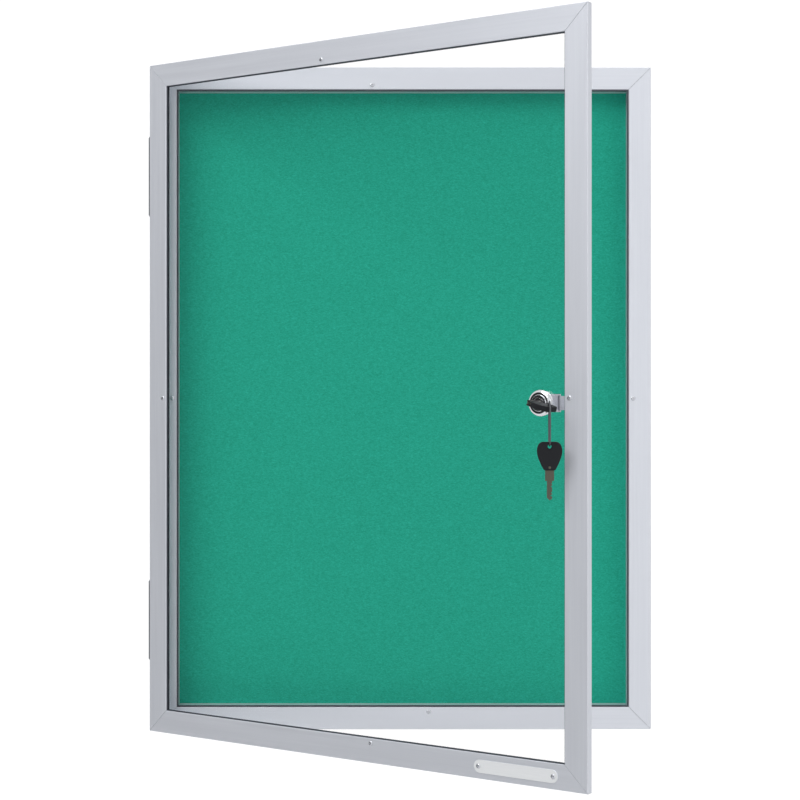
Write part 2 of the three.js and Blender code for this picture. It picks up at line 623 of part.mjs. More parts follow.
// Lock, built on its own axis: depth runs along y from the door's front face
const lockX = HALF_WIDTH - LOCK_FROM_EDGE;
const lockZ = -LOCK_DROP;
const barrelBore = BARREL_DIAMETER + 2 * FIT_GAP;
const sheet = boxBetween(
  [-HALF_WIDTH + sheetEdge, sheetFront, -HALF_HEIGHT + sheetEdge],
  [HALF_WIDTH - sheetEdge, sheetFront + SHEET_THICKNESS, HALF_HEIGHT - sheetEdge],
);
const sheetHole = rodAlongY(barrelBore, sheetFront - CUT_OVERRUN, sheetFront + SHEET_THICKNESS + CUT_OVERRUN, lockX, lockZ);
addPiece(door, "clear_sheet", cut(sheet, sheetHole), "clear");

// A frame on the lock's axis at the door's front face, with depth along +y
const lock = new THREE.Group();
lock.position.set(lockX, DOOR_FRONT, lockZ);
door.add(lock);

// A revolved piece about the lock's axis, its outer profile given as [radius, depth] from front to back.
function lockTurned(profile) {
  return new THREE.LatheGeometry(profile.map(([r, depth]) => new THREE.Vector2(r, depth)), ROUND_SIDES);
}

// Chrome head and barrel, in one
const headBack = sheetFront - DOOR_FRONT - FIT_GAP;
const headRadius = HEAD_DIAMETER / 2;
const plugRadius = PLUG_DIAMETER / 2;
const plugBore = plugRadius + FIT_GAP;
const barrelRadius = BARREL_DIAMETER / 2;
const headShares = [[0.62, 1], [0.84, 0.8], [0.96, 0.35], [1, 0]];
const lockBody = lockTurned([
  [plugBore, -HEAD_PROUD],
  ...headShares.map(([radiusShare, proudShare]) => [headRadius * radiusShare, -HEAD_PROUD * proudShare]),
  [headRadius, headBack], [barrelRadius, headBack], [barrelRadius, BARREL_END],
  [plugBore, BARREL_END], [plugBore, -HEAD_PROUD],
]);
addPiece(lock, "lock_body", lockBody, "chrome");

// Housing behind the sheet: it screws onto the barrel and guides the bolt in a channel across it
const housingFront = sheetFront + SHEET_THICKNESS - DOOR_FRONT + FIT_GAP;
const channelFront = BARREL_END + FIT_GAP;
const channelBack = boltDepth + BOLT_THICKNESS + FIT_GAP;
const channelHalf = BOLT_HEIGHT / 2 + FIT_GAP;
const housingHalf = channelHalf + HOUSING_WALL;
const housingBlock = boxBetween(
  [-HOUSING_LENGTH / 2, housingFront, -housingHalf],
  [HOUSING_LENGTH / 2, channelBack + HOUSING_WALL, housingHalf],
);
const housingChannel = boxBetween(
  [-HOUSING_LENGTH / 2 - CUT_OVERRUN, channelFront, -channelHalf],
  [HOUSING_LENGTH / 2 + CUT_OVERRUN, channelBack, channelHalf],
);
const housingBore = rodAlongY(barrelBore, housingFront - CUT_OVERRUN, channelFront + FIT_GAP, 0, 0);
addPiece(lock, "bolt_housing", cut(housingBlock, housingChannel, housingBore), "zinc");

// Plug: keyway in front, and behind it a disc whose pin drives the bolt
const pinShare = Math.SQRT1_2;
const pinX = -DRIVE_PIN_OFFSET * pinShare;
const pinZ = DRIVE_PIN_OFFSET * pinShare;
const discFront = channelFront;
const discBack = discFront + DISC_THICKNESS;
const plugBlank = lockTurned([
  [0, -HEAD_PROUD], [plugRadius, -HEAD_PROUD], [plugRadius, discFront],
  [DISC_DIAMETER / 2, discFront], [DISC_DIAMETER / 2, discBack], [0, discBack],
]);
const drivePin = rodAlongY(DRIVE_PIN_DIAMETER, discFront, boltDepth + BOLT_THICKNESS, pinX, pinZ, SMALL_SIDES);
const keywayHalf = BLADE_WIDTH / 2 + FIT_GAP;
const keywayThick = BLADE_THICKNESS / 2 + FIT_GAP;
const keyway = boxBetween(
  [-keywayHalf, -HEAD_PROUD - CUT_OVERRUN, -keywayThick],
  [keywayHalf, -HEAD_PROUD + BLADE_LENGTH + FIT_GAP, keywayThick],
).rotateY(KEY_TILT);
addPiece(lock, "lock_plug", cut(join(plugBlank, drivePin), keyway), "chrome");

// Bolt: a flat strip joggled back near its tip, with an open notch for the drive pin
const crankStart = HOUSING_LENGTH / 2 + BOLT_THICKNESS / 2;
const crankEnd = crankStart + BOLT_CRANK;
const boltBack = boltDepth + BOLT_THICKNESS;
const boltOutline = polygon([
  [-BOLT_TAIL, boltDepth], [crankStart, boltDepth], [crankEnd, boltTipDepth], [BOLT_REACH, boltTipDepth],
  [BOLT_REACH, boltTipDepth + BOLT_THICKNESS], [crankEnd - BOLT_THICKNESS / 2, boltTipDepth + BOLT_THICKNESS],
  [crankStart - BOLT_THICKNESS / 2, boltBack], [-BOLT_TAIL, boltBack],
]);
const boltBlank = new THREE.ExtrudeGeometry(boltOutline, { depth: BOLT_HEIGHT, bevelEnabled: false });
boltBlank.translate(0, 0, -BOLT_HEIGHT / 2);
const notchHalf = DRIVE_PIN_DIAMETER / 2 + DRIVE_PIN_CLEARANCE;
const boltNotch = boxBetween(
  [pinX - notchHalf, boltDepth - CUT_OVERRUN, pinZ - notchHalf],
  [pinX + notchHalf, boltBack + CUT_OVERRUN, BOLT_HEIGHT / 2 + CUT_OVERRUN],
);
addPiece(lock, "lock_bolt", cut(boltBlank, boltNotch), "zinc");

// Folding key: x runs from the blade's tip to the bow's far end, with the fold pin at the origin,
// y across the width and z through the thickness
const bowEnd = BOW_LENGTH - PIVOT_FROM_NECK;
const shoulderStart = -PIVOT_FROM_NECK - SHOULDER_LENGTH;
const bladeTip = shoulderStart - BLADE_LENGTH;
const tangRadius = SHOULDER_WIDTH / 2;

// The blade: round tang, shoulder, and a shank with the bitting cut into one edge.
function keyBlade() {
  const half = BLADE_WIDTH / 2;
  const shape = new THREE.Shape();
  shape.absarc(0, 0, tangRadius, -Math.PI / 2, Math.PI / 2, false);
  shape.lineTo(shoulderStart, tangRadius);
  shape.lineTo(shoulderStart, half);
  const bittingShares = [0.25, 0.5, 0.15, 0.4, 0.6, 0.2];
  const step = BLADE_LENGTH / (bittingShares.length * 2 + 1);
  bittingShares.forEach((depthShare, i) => {
    const start = shoulderStart - step * (i * 2 + 1);
    shape.lineTo(start, half);
    shape.lineTo(start - step / 2, half - half * depthShare);
    shape.lineTo(start - step, half - half * depthShare);
    shape.lineTo(start - step * 1.5, half);
  });
  shape.lineTo(bladeTip + half / 2, half / 2);
  shape.lineTo(bladeTip, 0);
  shape.lineTo(bladeTip + half, -half);
  shape.lineTo(shoulderStart, -half);
  shape.lineTo(shoulderStart, -tangRadius);
  const flat = new THREE.ExtrudeGeometry(shape, { depth: BLADE_THICKNESS, bevelEnabled: false, curveSegments: 8 });
  flat.translate(0, 0, -BLADE_THICKNESS / 2);
  const pin = new THREE.CylinderGeometry(PIVOT_DIAMETER / 2, PIVOT_DIAMETER / 2, BOW_THICKNESS, SMALL_SIDES);
  return join(flat, pin.rotateX(Math.PI / 2));
}

// The bow: a tapered plastic grip, forked at the neck for the tang and holed at the far end for the loop.
function keyBow() {
  const neck = BOW_NECK / 2;
  const half = BOW_WIDTH / 2;
  const shoulder = bowEnd - BOW_LENGTH * BOW_SHARES.shoulder;
  const swell = neck * BOW_SHARES.swell;
  const run = shoulder * BOW_SHARES.run;
  const round = bowEnd - BOW_CORNER * BOW_SHARES.round;
  const turn = half - BOW_CORNER * BOW_SHARES.turn;
  const corner = half - BOW_CORNER;
  const shape = new THREE.Shape();
  shape.moveTo(-PIVOT_FROM_NECK, -neck);
  shape.bezierCurveTo(0, -swell, run, -half, shoulder, -half);
  shape.bezierCurveTo(round, -half, bowEnd, -turn, bowEnd, -corner);
  shape.lineTo(bowEnd, corner);
  shape.bezierCurveTo(bowEnd, turn, round, half, shoulder, half);
  shape.bezierCurveTo(run, half, 0, swell, -PIVOT_FROM_NECK, neck);
  const hole = new THREE.Path();
  hole.absarc(bowEnd - LOOP_HOLE_FROM_END, 0, LOOP_HOLE / 2, 0, Math.PI * 2, true);
  shape.holes.push(hole);
  const flat = new THREE.ExtrudeGeometry(shape, { depth: BOW_THICKNESS, bevelEnabled: false, curveSegments: 8 });
  flat.translate(0, 0, -BOW_THICKNESS / 2);
  const forkHalf = BLADE_THICKNESS / 2 + FIT_GAP;
  const fork = boxBetween(
    [-PIVOT_FROM_NECK - CUT_OVERRUN, -half, -forkHalf],
    [tangRadius + FIT_GAP, half, forkHalf],
  );
  const boreRadius = PIVOT_DIAMETER / 2 + FIT_GAP;
  const boreLength = BOW_THICKNESS + CUT_OVERRUN;
  const bore = new THREE.CylinderGeometry(boreRadius, boreRadius, boreLength, SMALL_SIDES);
  return cut(flat, fork, bore.rotateX(Math.PI / 2));
}

// The key in the lock: its blade in the keyway, its bow folded aside towards the door's free edge
const pivotDepth = -HEAD_PROUD - FIT_GAP + shoulderStart;
const keyTurn = new THREE.Group();
keyTurn.position.set(0, pivotDepth, 0);
keyTurn.rotation.y = KEY_TILT;
lock.add(keyTurn);
addPiece(keyTurn, "key_blade", keyBlade(), "nickel").rotation.z = -Math.PI / 2;
addPiece(keyTurn, "key_bow", keyBow(), "bow");

// A closed ring of round wire along a planar loop of [y, z] points, as one seamless surface.
function wireLoop(points, wire, sides) {
  const count = points.length;
  const place = [];
  const index = [];
  points.forEach(([y, z], i) => {
    const [yNext, zNext] = points[(i + 1) % count];
    const [yLast, zLast] = points[(i + count - 1) % count];
    const along = new THREE.Vector2(yNext - yLast, zNext - zLast).normalize();
    for (let j = 0; j < sides; j += 1) {
      const angle = (j / sides) * Math.PI * 2;
      const out = (Math.cos(angle) * wire) / 2;
      place.push((Math.sin(angle) * wire) / 2, y + along.y * out, z - along.x * out);
      const a = i * sides + j;
      const b = i * sides + ((j + 1) % sides);
      const c = ((i + 1) % count) * sides + j;
      const d = ((i + 1) % count) * sides + ((j + 1) % sides);
      index.push(a, c, b, b, c, d);
    }
  });
  const geometry = new THREE.BufferGeometry();
  geometry.setAttribute("position", new THREE.Float32BufferAttribute(place, 3));
  geometry.setIndex(index);
  geometry.computeVertexNormals();
  return geometry;
}

// The loop's points: a half circle over the top and one under the foot, joined by straight legs. One leg
// passes down through the hole in the bow, at y = 0.
const loopTop = -LOOP_RISE;
const loopFoot = loopTop - LOOP_STRAIGHT;
function halfCircle(startAngle, middleZ) {
  return Array.from({ length: LOOP_STEPS + 1 }, (_, i) => {
    const angle = startAngle - (i / LOOP_STEPS) * Math.PI;
    return [LOOP_RADIUS + LOOP_RADIUS * Math.cos(angle), middleZ + LOOP_RADIUS * Math.sin(angle)];
  });
}
const loopPoints = [...halfCircle(Math.PI, loopTop), ...halfCircle(0, loopFoot)];
const holeReach = bowEnd - LOOP_HOLE_FROM_END;
const loopHang = new THREE.Group();
loopHang.position.set(holeReach * Math.cos(KEY_TILT), pivotDepth, -holeReach * Math.sin(KEY_TILT));
loopHang.rotation.z = DOOR_OPEN + Math.PI;
lock.add(loopHang);
addPiece(loopHang, "key_loop", wireLoop(loopPoints, LOOP_WIRE, WIRE_SIDES), "bright");

// The spare key hangs straight down from the foot of the loop. Loop and key have turned on the bow, so
// that the key's flat side faces the same way as the case.
const arcRise = LOOP_RADIUS - Math.sqrt(LOOP_RADIUS ** 2 - (BOW_THICKNESS / 2) ** 2);
const hangSlack = (LOOP_HOLE - LOOP_WIRE) / 2 - arcRise - FIT_GAP / 2;
const spare = new THREE.Group();
spare.position.set(0, LOOP_RADIUS, loopFoot - LOOP_RADIUS - hangSlack - holeReach);
spare.rotation.set(Math.PI / 2, 0, 0);
loopHang.add(spare);
addPiece(spare, "spare_key_bow", keyBow(), "bow").rotation.z = Math.PI / 2;
addPiece(spare, "spare_key_blade", keyBlade(), "nickel").rotation.z = Math.PI / 2;

export default root;
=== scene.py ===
"""Looks of the lockable notice board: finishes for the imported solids, and turned, swept and moulded pieces.

The board hangs on a wall. Its case holds a felt panel, and its glazed door stands open on two butt hinges.
Everything is in metres in the board's own frame: Z up, X to the right, and the front towards -Y.
"""

from __future__ import annotations

import itertools
import logging
import math
from collections.abc import Callable
from dataclasses import dataclass, field
from enum import Enum

import bpy
import numpy as np
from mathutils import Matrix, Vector


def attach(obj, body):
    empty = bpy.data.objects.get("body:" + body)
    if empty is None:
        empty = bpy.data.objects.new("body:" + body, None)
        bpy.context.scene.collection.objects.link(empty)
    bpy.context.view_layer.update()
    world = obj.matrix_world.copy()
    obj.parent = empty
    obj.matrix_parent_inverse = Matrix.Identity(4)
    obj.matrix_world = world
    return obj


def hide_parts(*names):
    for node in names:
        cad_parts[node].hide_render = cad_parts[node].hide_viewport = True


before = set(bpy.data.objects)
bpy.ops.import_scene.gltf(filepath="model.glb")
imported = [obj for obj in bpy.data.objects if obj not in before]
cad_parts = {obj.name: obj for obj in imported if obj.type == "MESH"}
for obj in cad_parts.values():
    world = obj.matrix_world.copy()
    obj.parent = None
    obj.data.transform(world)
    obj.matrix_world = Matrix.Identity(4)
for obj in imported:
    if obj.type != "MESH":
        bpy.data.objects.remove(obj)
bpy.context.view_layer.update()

LOG = logging.getLogger("notice_board")
MM = 0.001

# Board sizes that the pieces below share with the solids
BOARD_WIDTH = 457 * MM
BOARD_HEIGHT = 610 * MM
CASE_DEPTH = 30 * MM
DOOR_GAP = 1.2 * MM
DOOR_DEPTH = 6 * MM
FACE_WIDTH = 20.5 * MM
FIT_GAP = 0.3 * MM
SEAT_GAP = 0.05 * MM
HALF_WIDTH = BOARD_WIDTH / 2
HALF_HEIGHT = BOARD_HEIGHT / 2
HINGE_X = -HALF_WIDTH - FIT_GAP - 2.1 * MM
HINGE_Y = -CASE_DEPTH - DOOR_GAP / 2
DOOR_FRONT = -CASE_DEPTH - DOOR_GAP - DOOR_DEPTH
DOOR_TURN = math.radians(-35)

# What mirrors see: a pale room and a dark flag, whose edge fades between two cosines from its middle
ROOM_LIGHT = 0.96
FLAG_LIGHT = 0.03
FLAG_EDGE = (0.86, 0.94)


class Grain(Enum):
    """What the surface of a finish is broken up by."""

    NONE = "none"
    DIE_LINES = "die lines"
    NEEDLED_FIBRE = "needled fibre"
    SAND_CAST = "sand cast"
    PRESSED_FIBRE = "pressed fibre"
    MOULD_GRAIN = "mould grain"
    ROLLED = "rolled"


class Side(Enum):
    """Which way a member of a mitred frame runs, which its die lines follow."""

    UPRIGHT = "upright"
    ACROSS = "across"


def linear(hex_colour: str) -> tuple[float, float, float, float]:
    """Turns an sRGB hex colour into linear light.

    Args:
        hex_colour: Six hex digits with a leading hash.

    Returns:
        Red, green, blue and a full alpha, each from 0 to 1.
    """
    shares = [int(hex_colour[i:i + 2], 16) / 255 for i in (1, 3, 5)]
    bent = [s / 12.92 if s <= 0.04045 else ((s + 0.055) / 1.055) ** 2.4 for s in shares]
    return (*bent, 1.0)


def per_metre(millimetres: float) -> float:
    """The texture scale, in repeats to the metre, of a pattern that repeats every so many millimetres."""
    return 1.0 / (millimetres * MM)


def add_node(
    tree: bpy.types.NodeTree,
    kind: str,
    settings: dict[str | int, object] | None = None,
    links: dict[str | int, bpy.types.NodeSocket] | None = None,
) -> bpy.types.Node:
    """Adds one node, sets it and links it.

    Args:
        tree: The node tree that gets the node.
        kind: The node's type name.
        settings: Values by the name of a node property, or by the name or place of an input.
        links: Sources by the name or place of the input that each one feeds.

    Returns:
        The new node.
    """
    node = tree.nodes.new(kind)
    for key, value in (settings or {}).items():
        if isinstance(key, str) and hasattr(node, key):
            setattr(node, key, value)
        else:
            node.inputs[key].default_value = value
    for key, source in (links or {}).items():
        tree.links.new(source, node.inputs[key])
    return node


@dataclass(frozen=True)
class Finish:
    """One real material and how its surface was made.

    The colours are sRGB. The second colour is what the grain adds, and grain_mm is how far apart it lies.
    """

    name: str
    slot: str
    colour: str
    roughness: float
    metallic: float = 0.0
    second: str | None = None
    grain: Grain = Grain.NONE
    grain_mm: float = 1.0
    relief_mm: float = 0.0
    edge_mm: float = 0.0
    coat: float = 0.0
    sheen: float = 0.0
    specular: float = 0.5
    along: tuple[float, float, float] = (0.0, 0.0, 0.0)
    long_share: float = 1.0

    def material(self) -> bpy.types.Material:
        """Builds the material.

        Returns:
            A procedural material on Object coordinates, which for these pieces are the board's own frame.
        """
        material = bpy.data.materials.new(self.name)
        material.use_nodes = True
        tree = material.node_tree
        shader = tree.nodes["Principled BSDF"]
        shader.inputs["Base Color"].default_value = linear(self.colour)
        shader.inputs["Metallic"].default_value = self.metallic
        shader.inputs["Roughness"].default_value = self.roughness
        shader.inputs["Specular IOR Level"].default_value = self.specular
        shader.inputs["Coat Weight"].default_value = self.coat
        shader.inputs["Sheen Weight"].default_value = self.sheen
        edge = None
        if self.edge_mm:
            # Broken edges: the corners of a real extrusion or stamping are never knife sharp
            edge = add_node(tree, "ShaderNodeBevel", {"samples": 4, "Radius": self.edge_mm * MM}).outputs["Normal"]
            tree.links.new(edge, shader.inputs["Normal"])
        if self.grain is Grain.NONE:
            return material
        height = self._grain_height(tree)
        tint = add_node(
            tree, "ShaderNodeMix",
            {"data_type": "RGBA", 6: linear(self.colour), 7: linear(self.second or self.colour)}, {0: height},
        )
        tree.links.new(tint.outputs[2], shader.inputs["Base Color"])
        spread = 0.12 * self.roughness
        rough = add_node(
            tree, "ShaderNodeMapRange",
            {"To Min": self.roughness - spread, "To Max": min(1.0, self.roughness + spread)}, {"Value": height},
        )
        tree.links.new(rough.outputs[0], shader.inputs["Roughness"])
        if self.relief_mm:
            bump = add_node(
                tree, "ShaderNodeBump", {"Strength": 1.0, "Distance": self.relief_mm * MM}, {"Height": height}
            )
            if edge is not None:
                tree.links.new(edge, bump.inputs["Normal"])
            tree.links.new(bump.outputs["Normal"], shader.inputs["Normal"])
        return material

    def _grain_height(self, tree: bpy.types.NodeTree) -> bpy.types.NodeSocket:
        """The grain's height, from 0 to 1.

        Args:
            tree: The material's node tree.

        Returns:
            The socket that carries the height.
        """
        place = add_node(tree, "ShaderNodeTexCoord").outputs["Object"]
        scale = per_metre(self.grain_mm)
        if self.grain in (Grain.DIE_LINES, Grain.ROLLED):
            # Lines along one direction: the place is turned into the member's frame and squeezed lengthwise
            stretched = add_node(
                tree, "ShaderNodeMapping",
                {"vector_type": "TEXTURE", "Rotation": self.along, "Scale": (1.0, 1.0, 1.0)}, {"Vector": place},
            )
            squeezed = add_node(
                tree, "ShaderNodeVectorMath", {"operation": "MULTIPLY", 1: (1.0 / self.long_share, 1.0, 1.0)},
                {0: stretched.outputs[0]},
            )
            lines = add_node(
                tree, "ShaderNodeTexNoise", {"Scale": scale, "Detail": 2.0, "Roughness": 0.6},
                {"Vector": squeezed.outputs[0]},
            )
            return lines.outputs[0]
        if self.grain is Grain.NEEDLED_FIBRE:
            return self._fibre_height(tree, place, scale)
        if self.grain is Grain.MOULD_GRAIN:
            cells = add_node(
                tree, "ShaderNodeTexVoronoi", {"feature": "SMOOTH_F1", "Scale": scale}, {"Vector": place}
            )
            return cells.outputs["Distance"]
        rough = add_node(
            tree, "ShaderNodeTexNoise", {"Scale": scale, "Detail": 4.0, "Roughness": 0.65}, {"Vector": place}
        )
        return rough.outputs[0]

    def _fibre_height(
        self, tree: bpy.types.NodeTree, place: bpy.types.NodeSocket, scale: float
    ) -> bpy.types.NodeSocket:
        """Fibres that lie every way: the sum of noises drawn out along three directions in the face.

        Args:
            tree: The material's node tree.
            place: The Object coordinates.
            scale: Fibres to the metre.

        Returns:
            The socket that carries the height.
        """
        total = None
        for turn in (0.0, 60.0, 120.0):
            laid = add_node(
                tree, "ShaderNodeMapping",
                {"Rotation": (0.0, math.radians(turn), 0.0), "Scale": (0.5, 1.0, 1.0)}, {"Vector": place},
            )
            strand = add_node(
                tree, "ShaderNodeTexNoise", {"Scale": scale, "Detail": 3.0, "Roughness": 0.7, "Distortion": 0.6},
                {"Vector": laid.outputs[0]},
            ).outputs[0]
            total = strand if total is None else add_node(
                tree, "ShaderNodeMath", {"operation": "ADD"}, {0: total, 1: strand}
            ).outputs[0]
        return add_node(
            tree, "ShaderNodeMapRange", {"From Min": 1.1, "From Max": 1.9, "To Min": 0.0, "To Max": 1.0},
            {"Value": total},
        ).outputs[0]


@dataclass(frozen=True)
class ClearSheetFinish:
    """Clear acrylic sheet. It bends light as acrylic does, and its shadow is let through as a window's is."""

    name: str = "clear acrylic sheet"
    slot: str = "clear"
    tint: str = "#FFFFFF"

    def material(self) -> bpy.types.Material:
        """Builds the material: a clear solid for what is seen, and plain clearness for shadows."""
        material = bpy.data.materials.new(self.name)
        material.use_nodes = True
        tree = material.node_tree
        shader = tree.nodes["Principled BSDF"]
        for name, value in (
            ("Base Color", linear(self.tint)), ("Roughness", 0.0), ("IOR", 1.49), ("Transmission Weight", 1.0),
            ("Specular IOR Level", 0.12),
        ):
            shader.inputs[name].default_value = value
        path = add_node(tree, "ShaderNodeLightPath")
        through = add_node(
            tree, "ShaderNodeMath", {"operation": "MAXIMUM"},
            {0: path.outputs["Is Shadow Ray"], 1: path.outputs["Is Diffuse Ray"]},
        )
        clear = add_node(tree, "ShaderNodeBsdfTransparent", {"Color": linear(self.tint)})
        both = add_node(
            tree, "ShaderNodeMixShader", {}, {0: through.outputs[0], 1: shader.outputs[0], 2: clear.outputs[0]}
        )
        tree.links.new(both.outputs[0], tree.nodes["Material Output"].inputs["Surface"])
        return material


# What all the frame's members share, whichever way they run
EXTRUSION = dict(colour="#CBCED6", second="#D5D8DF", metallic=0.60, roughness=0.48, grain=Grain.DIE_LINES,
                 grain_mm=1.6, relief_mm=0.004, edge_mm=0.3, long_share=60.0)


def extrusion(name: str, side: Side, turn: float) -> Finish:
    """Satin anodised aluminium whose faint die lines run along a member.

    Args:
        name: The material's name.
        side: Which way the member runs.
        turn: The turn about Z of the frame that holds the member, in radians.

    Returns:
        The finish. It gives a soft, pale, slightly blue metal with lines that show only close to.
    """
    along = (0.0, math.radians(90), turn) if side is Side.UPRIGHT else (0.0, 0.0, turn)
    return Finish(name=name, slot="aluminium", along=along, **EXTRUSION)


# Aluminium extrusions, satin anodised
CASE_UPRIGHT = extrusion("anodised aluminium, case stiles", Side.UPRIGHT, 0.0)
CASE_ACROSS = extrusion("anodised aluminium, case rails", Side.ACROSS, 0.0)
DOOR_UPRIGHT = extrusion("anodised aluminium, door stiles", Side.UPRIGHT, DOOR_TURN)
DOOR_ACROSS = extrusion("anodised aluminium, door rails", Side.ACROSS, DOOR_TURN)
# Needled polyester felt: matt, with short fibres that lie every way. Real fibres are 0.03 mm thick and are
# drawn as coarse as they show
FELT = Finish("needled polyester felt", "felt", "#13876D", 0.95, second="#2BA892", grain=Grain.NEEDLED_FIBRE,
              grain_mm=0.9, relief_mm=0.12, sheen=0.05, specular=0.1)
# Wood fibreboard: pressed fibres, dull and brown
SOFTBOARD = Finish("wood fibre softboard", "softboard", "#8C7452", 0.9, second="#A48B66",
                   grain=Grain.PRESSED_FIBRE, grain_mm=2.2, relief_mm=0.15, specular=0.2)
# Hardboard with a pale lacquer, which is faintly pebbled
BACKING = Finish("lacquered hardboard", "backing", "#B9BCC0", 0.55, second="#C3C6C9",
                 grain=Grain.PRESSED_FIBRE, grain_mm=4.0, relief_mm=0.02, edge_mm=0.3, specular=0.4)
# Die-cast zinc or aluminium keys inside the mitres, left as cast
CASTING = Finish("die-cast aluminium", "casting", "#8A8D92", 0.5, metallic=0.85, second="#9DA0A4",
                 grain=Grain.SAND_CAST, grain_mm=1.5, relief_mm=0.05, edge_mm=0.3)
# Extruded PVC gasket: nearly black, matt
GASKET = Finish("black PVC gasket", "rubber", "#3A3D46", 0.6, grain=Grain.MOULD_GRAIN, second="#43464F",
                grain_mm=0.9, relief_mm=0.01, edge_mm=0.2)
# Zinc-plated mild steel, pressed and rolled
PLATED_STEEL = Finish("zinc-plated steel", "steel", "#77797D", 0.45, metallic=0.8, second="#85878B",
                      grain=Grain.ROLLED, grain_mm=1.2, relief_mm=0.01, edge_mm=0.25, long_share=8.0,
                      along=(0.0, math.radians(90), 0.0))
# Zinc-plated steel on the lock's bolt and its housing, softer than the hinges. Its colour is painted paler than
# the hinges' steel as painted light, to offset the shade that it sits in behind the clear sheet
BOLT_STEEL_PAINTED_PALE = Finish("zinc-plated steel painted paler against shade", "zinc", "#C3C5CE", 0.5, metallic=0.45, edge_mm=0.25)
# Sprung steel wire, dull from handling
WIRE = Finish("spring steel wire", "bright", "#5B5D61", 0.4, metallic=0.8)
# Aluminium rivets: clean and bright
BRIGHT = Finish("bright rivet metal", "bright", "#C9CBD0", 0.27, metallic=0.9)
# Chrome over die-cast zinc: a clear mirror
CHROME = Finish("chrome plate", "chrome", "#DADCE0", 0.09, metallic=1.0, edge_mm=0.15)
# Satin aluminium plate, blank
NAMEPLATE = Finish("satin aluminium plate", "plate", "#E6E8EB", 0.34, metallic=0.30, second="#EEF0F2",
                   grain=Grain.ROLLED, grain_mm=0.8, relief_mm=0.004, edge_mm=0.12, long_share=40.0,
                   along=(0.0, 0.0, DOOR_TURN))
# Glass-filled nylon key grips: near black with a fine spark grain
GRIP = Finish("moulded nylon", "bow", "#101216", 0.6, specular=0.22, second="#17191E", grain=Grain.MOULD_GRAIN,
              grain_mm=0.6, relief_mm=0.02)
# Nickel silver key blades, dulled by use
KEY_METAL = Finish("nickel silver", "nickel", "#4F4E45", 0.42, metallic=0.8, second="#5F5D52",
                   grain=Grain.ROLLED, grain_mm=0.5, relief_mm=0.004, edge_mm=0.12, long_share=12.0,
                   along=(0.0, math.radians(90), 0.0))
CLEAR_SHEET = ClearSheetFinish()

NODE_FINISHES: dict[str, Finish | ClearSheetFinish] = {
    "back_panel": BACKING,
    "softboard_core": SOFTBOARD,
    "felt_facing": FELT,
    "case_seal": GASKET,
    "glazing_gasket": GASKET,
    "clear_sheet": CLEAR_SHEET,
    "nameplate_blank": NAMEPLATE,
    # The bolt and its housing get the steel whose paler colour is painted light against their shade
    "bolt_housing": BOLT_STEEL_PAINTED_PALE,
    "lock_bolt": BOLT_STEEL_PAINTED_PALE,
    "lock_plug": CHROME,
    "lock_body": CHROME,
    "key_blade": KEY_METAL,
    "spare_key_blade": KEY_METAL,
    "key_bow": GRIP,
    "spare_key_bow": GRIP,
    "key_loop": BRIGHT,
}
for owner, upright, across in (("case", CASE_UPRIGHT, CASE_ACROSS), ("door", DOOR_UPRIGHT, DOOR_ACROSS)):
    for end in ("left", "right"):
        NODE_FINISHES[f"{owner}_stile_{end}"] = upright
    for end in ("top", "bottom"):
        NODE_FINISHES[f"{owner}_rail_{end}"] = across
    for place in ("upper", "lower"):
        NODE_FINISHES[f"{owner}_hinge_leaf_{place}"] = PLATED_STEEL
    for corner in range(1, 5):
        NODE_FINISHES[f"{owner}_corner_key_{corner}"] = CASTING
for end in ("left", "right"):
    NODE_FINISHES[f"hanger_plate_{end}"] = PLATED_STEEL
    NODE_FINISHES[f"hanger_screw_{end}"] = BRIGHT
for place in ("upper", "lower"):
    NODE_FINISHES[f"hinge_pin_{place}"] = BRIGHT


class Wardrobe:
    """Keeps one material for each finish, and puts finishes on nodes and pieces."""

    def __init__(self) -> None:
        """Starts with no materials made."""
        self._made: dict[str, bpy.types.Material] = {}

    def dress(self, obj: bpy.types.Object, finish: Finish | ClearSheetFinish) -> None:
        """Puts one finish on all of an object.

        Args:
            obj: The object, whose own material slots are emptied first.
            finish: The finish that it gets.
        """
        if finish.name not in self._made:
            self._made[finish.name] = finish.material()
        obj.data.materials.clear()
        obj.data.materials.append(self._made[finish.name])

    def dress_nodes(self) -> None:
        """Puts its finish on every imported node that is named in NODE_FINISHES."""
        for name, finish in NODE_FINISHES.items():
            self.dress(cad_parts[name], finish)
            LOG.info("dressed %s in %s", name, finish.name)


def on_open_door(points: np.ndarray) -> np.ndarray:
    """Carries points of the closed door to where they are while it stands open.

    In words: the point less the hinge axis is turned about Z by the door's angle, and the axis added back.

    Args:
        points: Places on the closed door, with X, Y and Z last.

    Returns:
        The places on the open door, in the same shape.
    """
    axis = np.array([HINGE_X, HINGE_Y, 0.0])
    c, s = math.cos(DOOR_TURN), math.sin(DOOR_TURN)
    turn = np.array([[c, -s, 0.0], [s, c, 0.0], [0.0, 0.0, 1.0]])
    return (points - axis) @ turn.T + axis


def surface(
    name: str, points: np.ndarray, faces: list[tuple[int, ...]], smooth_degrees: float
) -> bpy.types.Object:
    """Makes an object from points and faces, smooth but for the sharp turns.

    Args:
        name: The object's name.
        points: One row of X, Y and Z for each vertex.
        faces: The vertices of each face, anticlockwise as seen from outside.
        smooth_degrees: The turn between faces above which an edge stays sharp.

    Returns:
        The new object, in the scene, standing at the origin.
    """
    mesh = bpy.data.meshes.new(name)
    mesh.from_pydata(points.reshape(-1, 3).tolist(), [], faces)
    mesh.validate()
    mesh.shade_smooth()
    mesh.set_sharp_from_angle(angle=math.radians(smooth_degrees))
    obj = bpy.data.objects.new(name, mesh)
    bpy.context.scene.collection.objects.link(obj)
    return obj


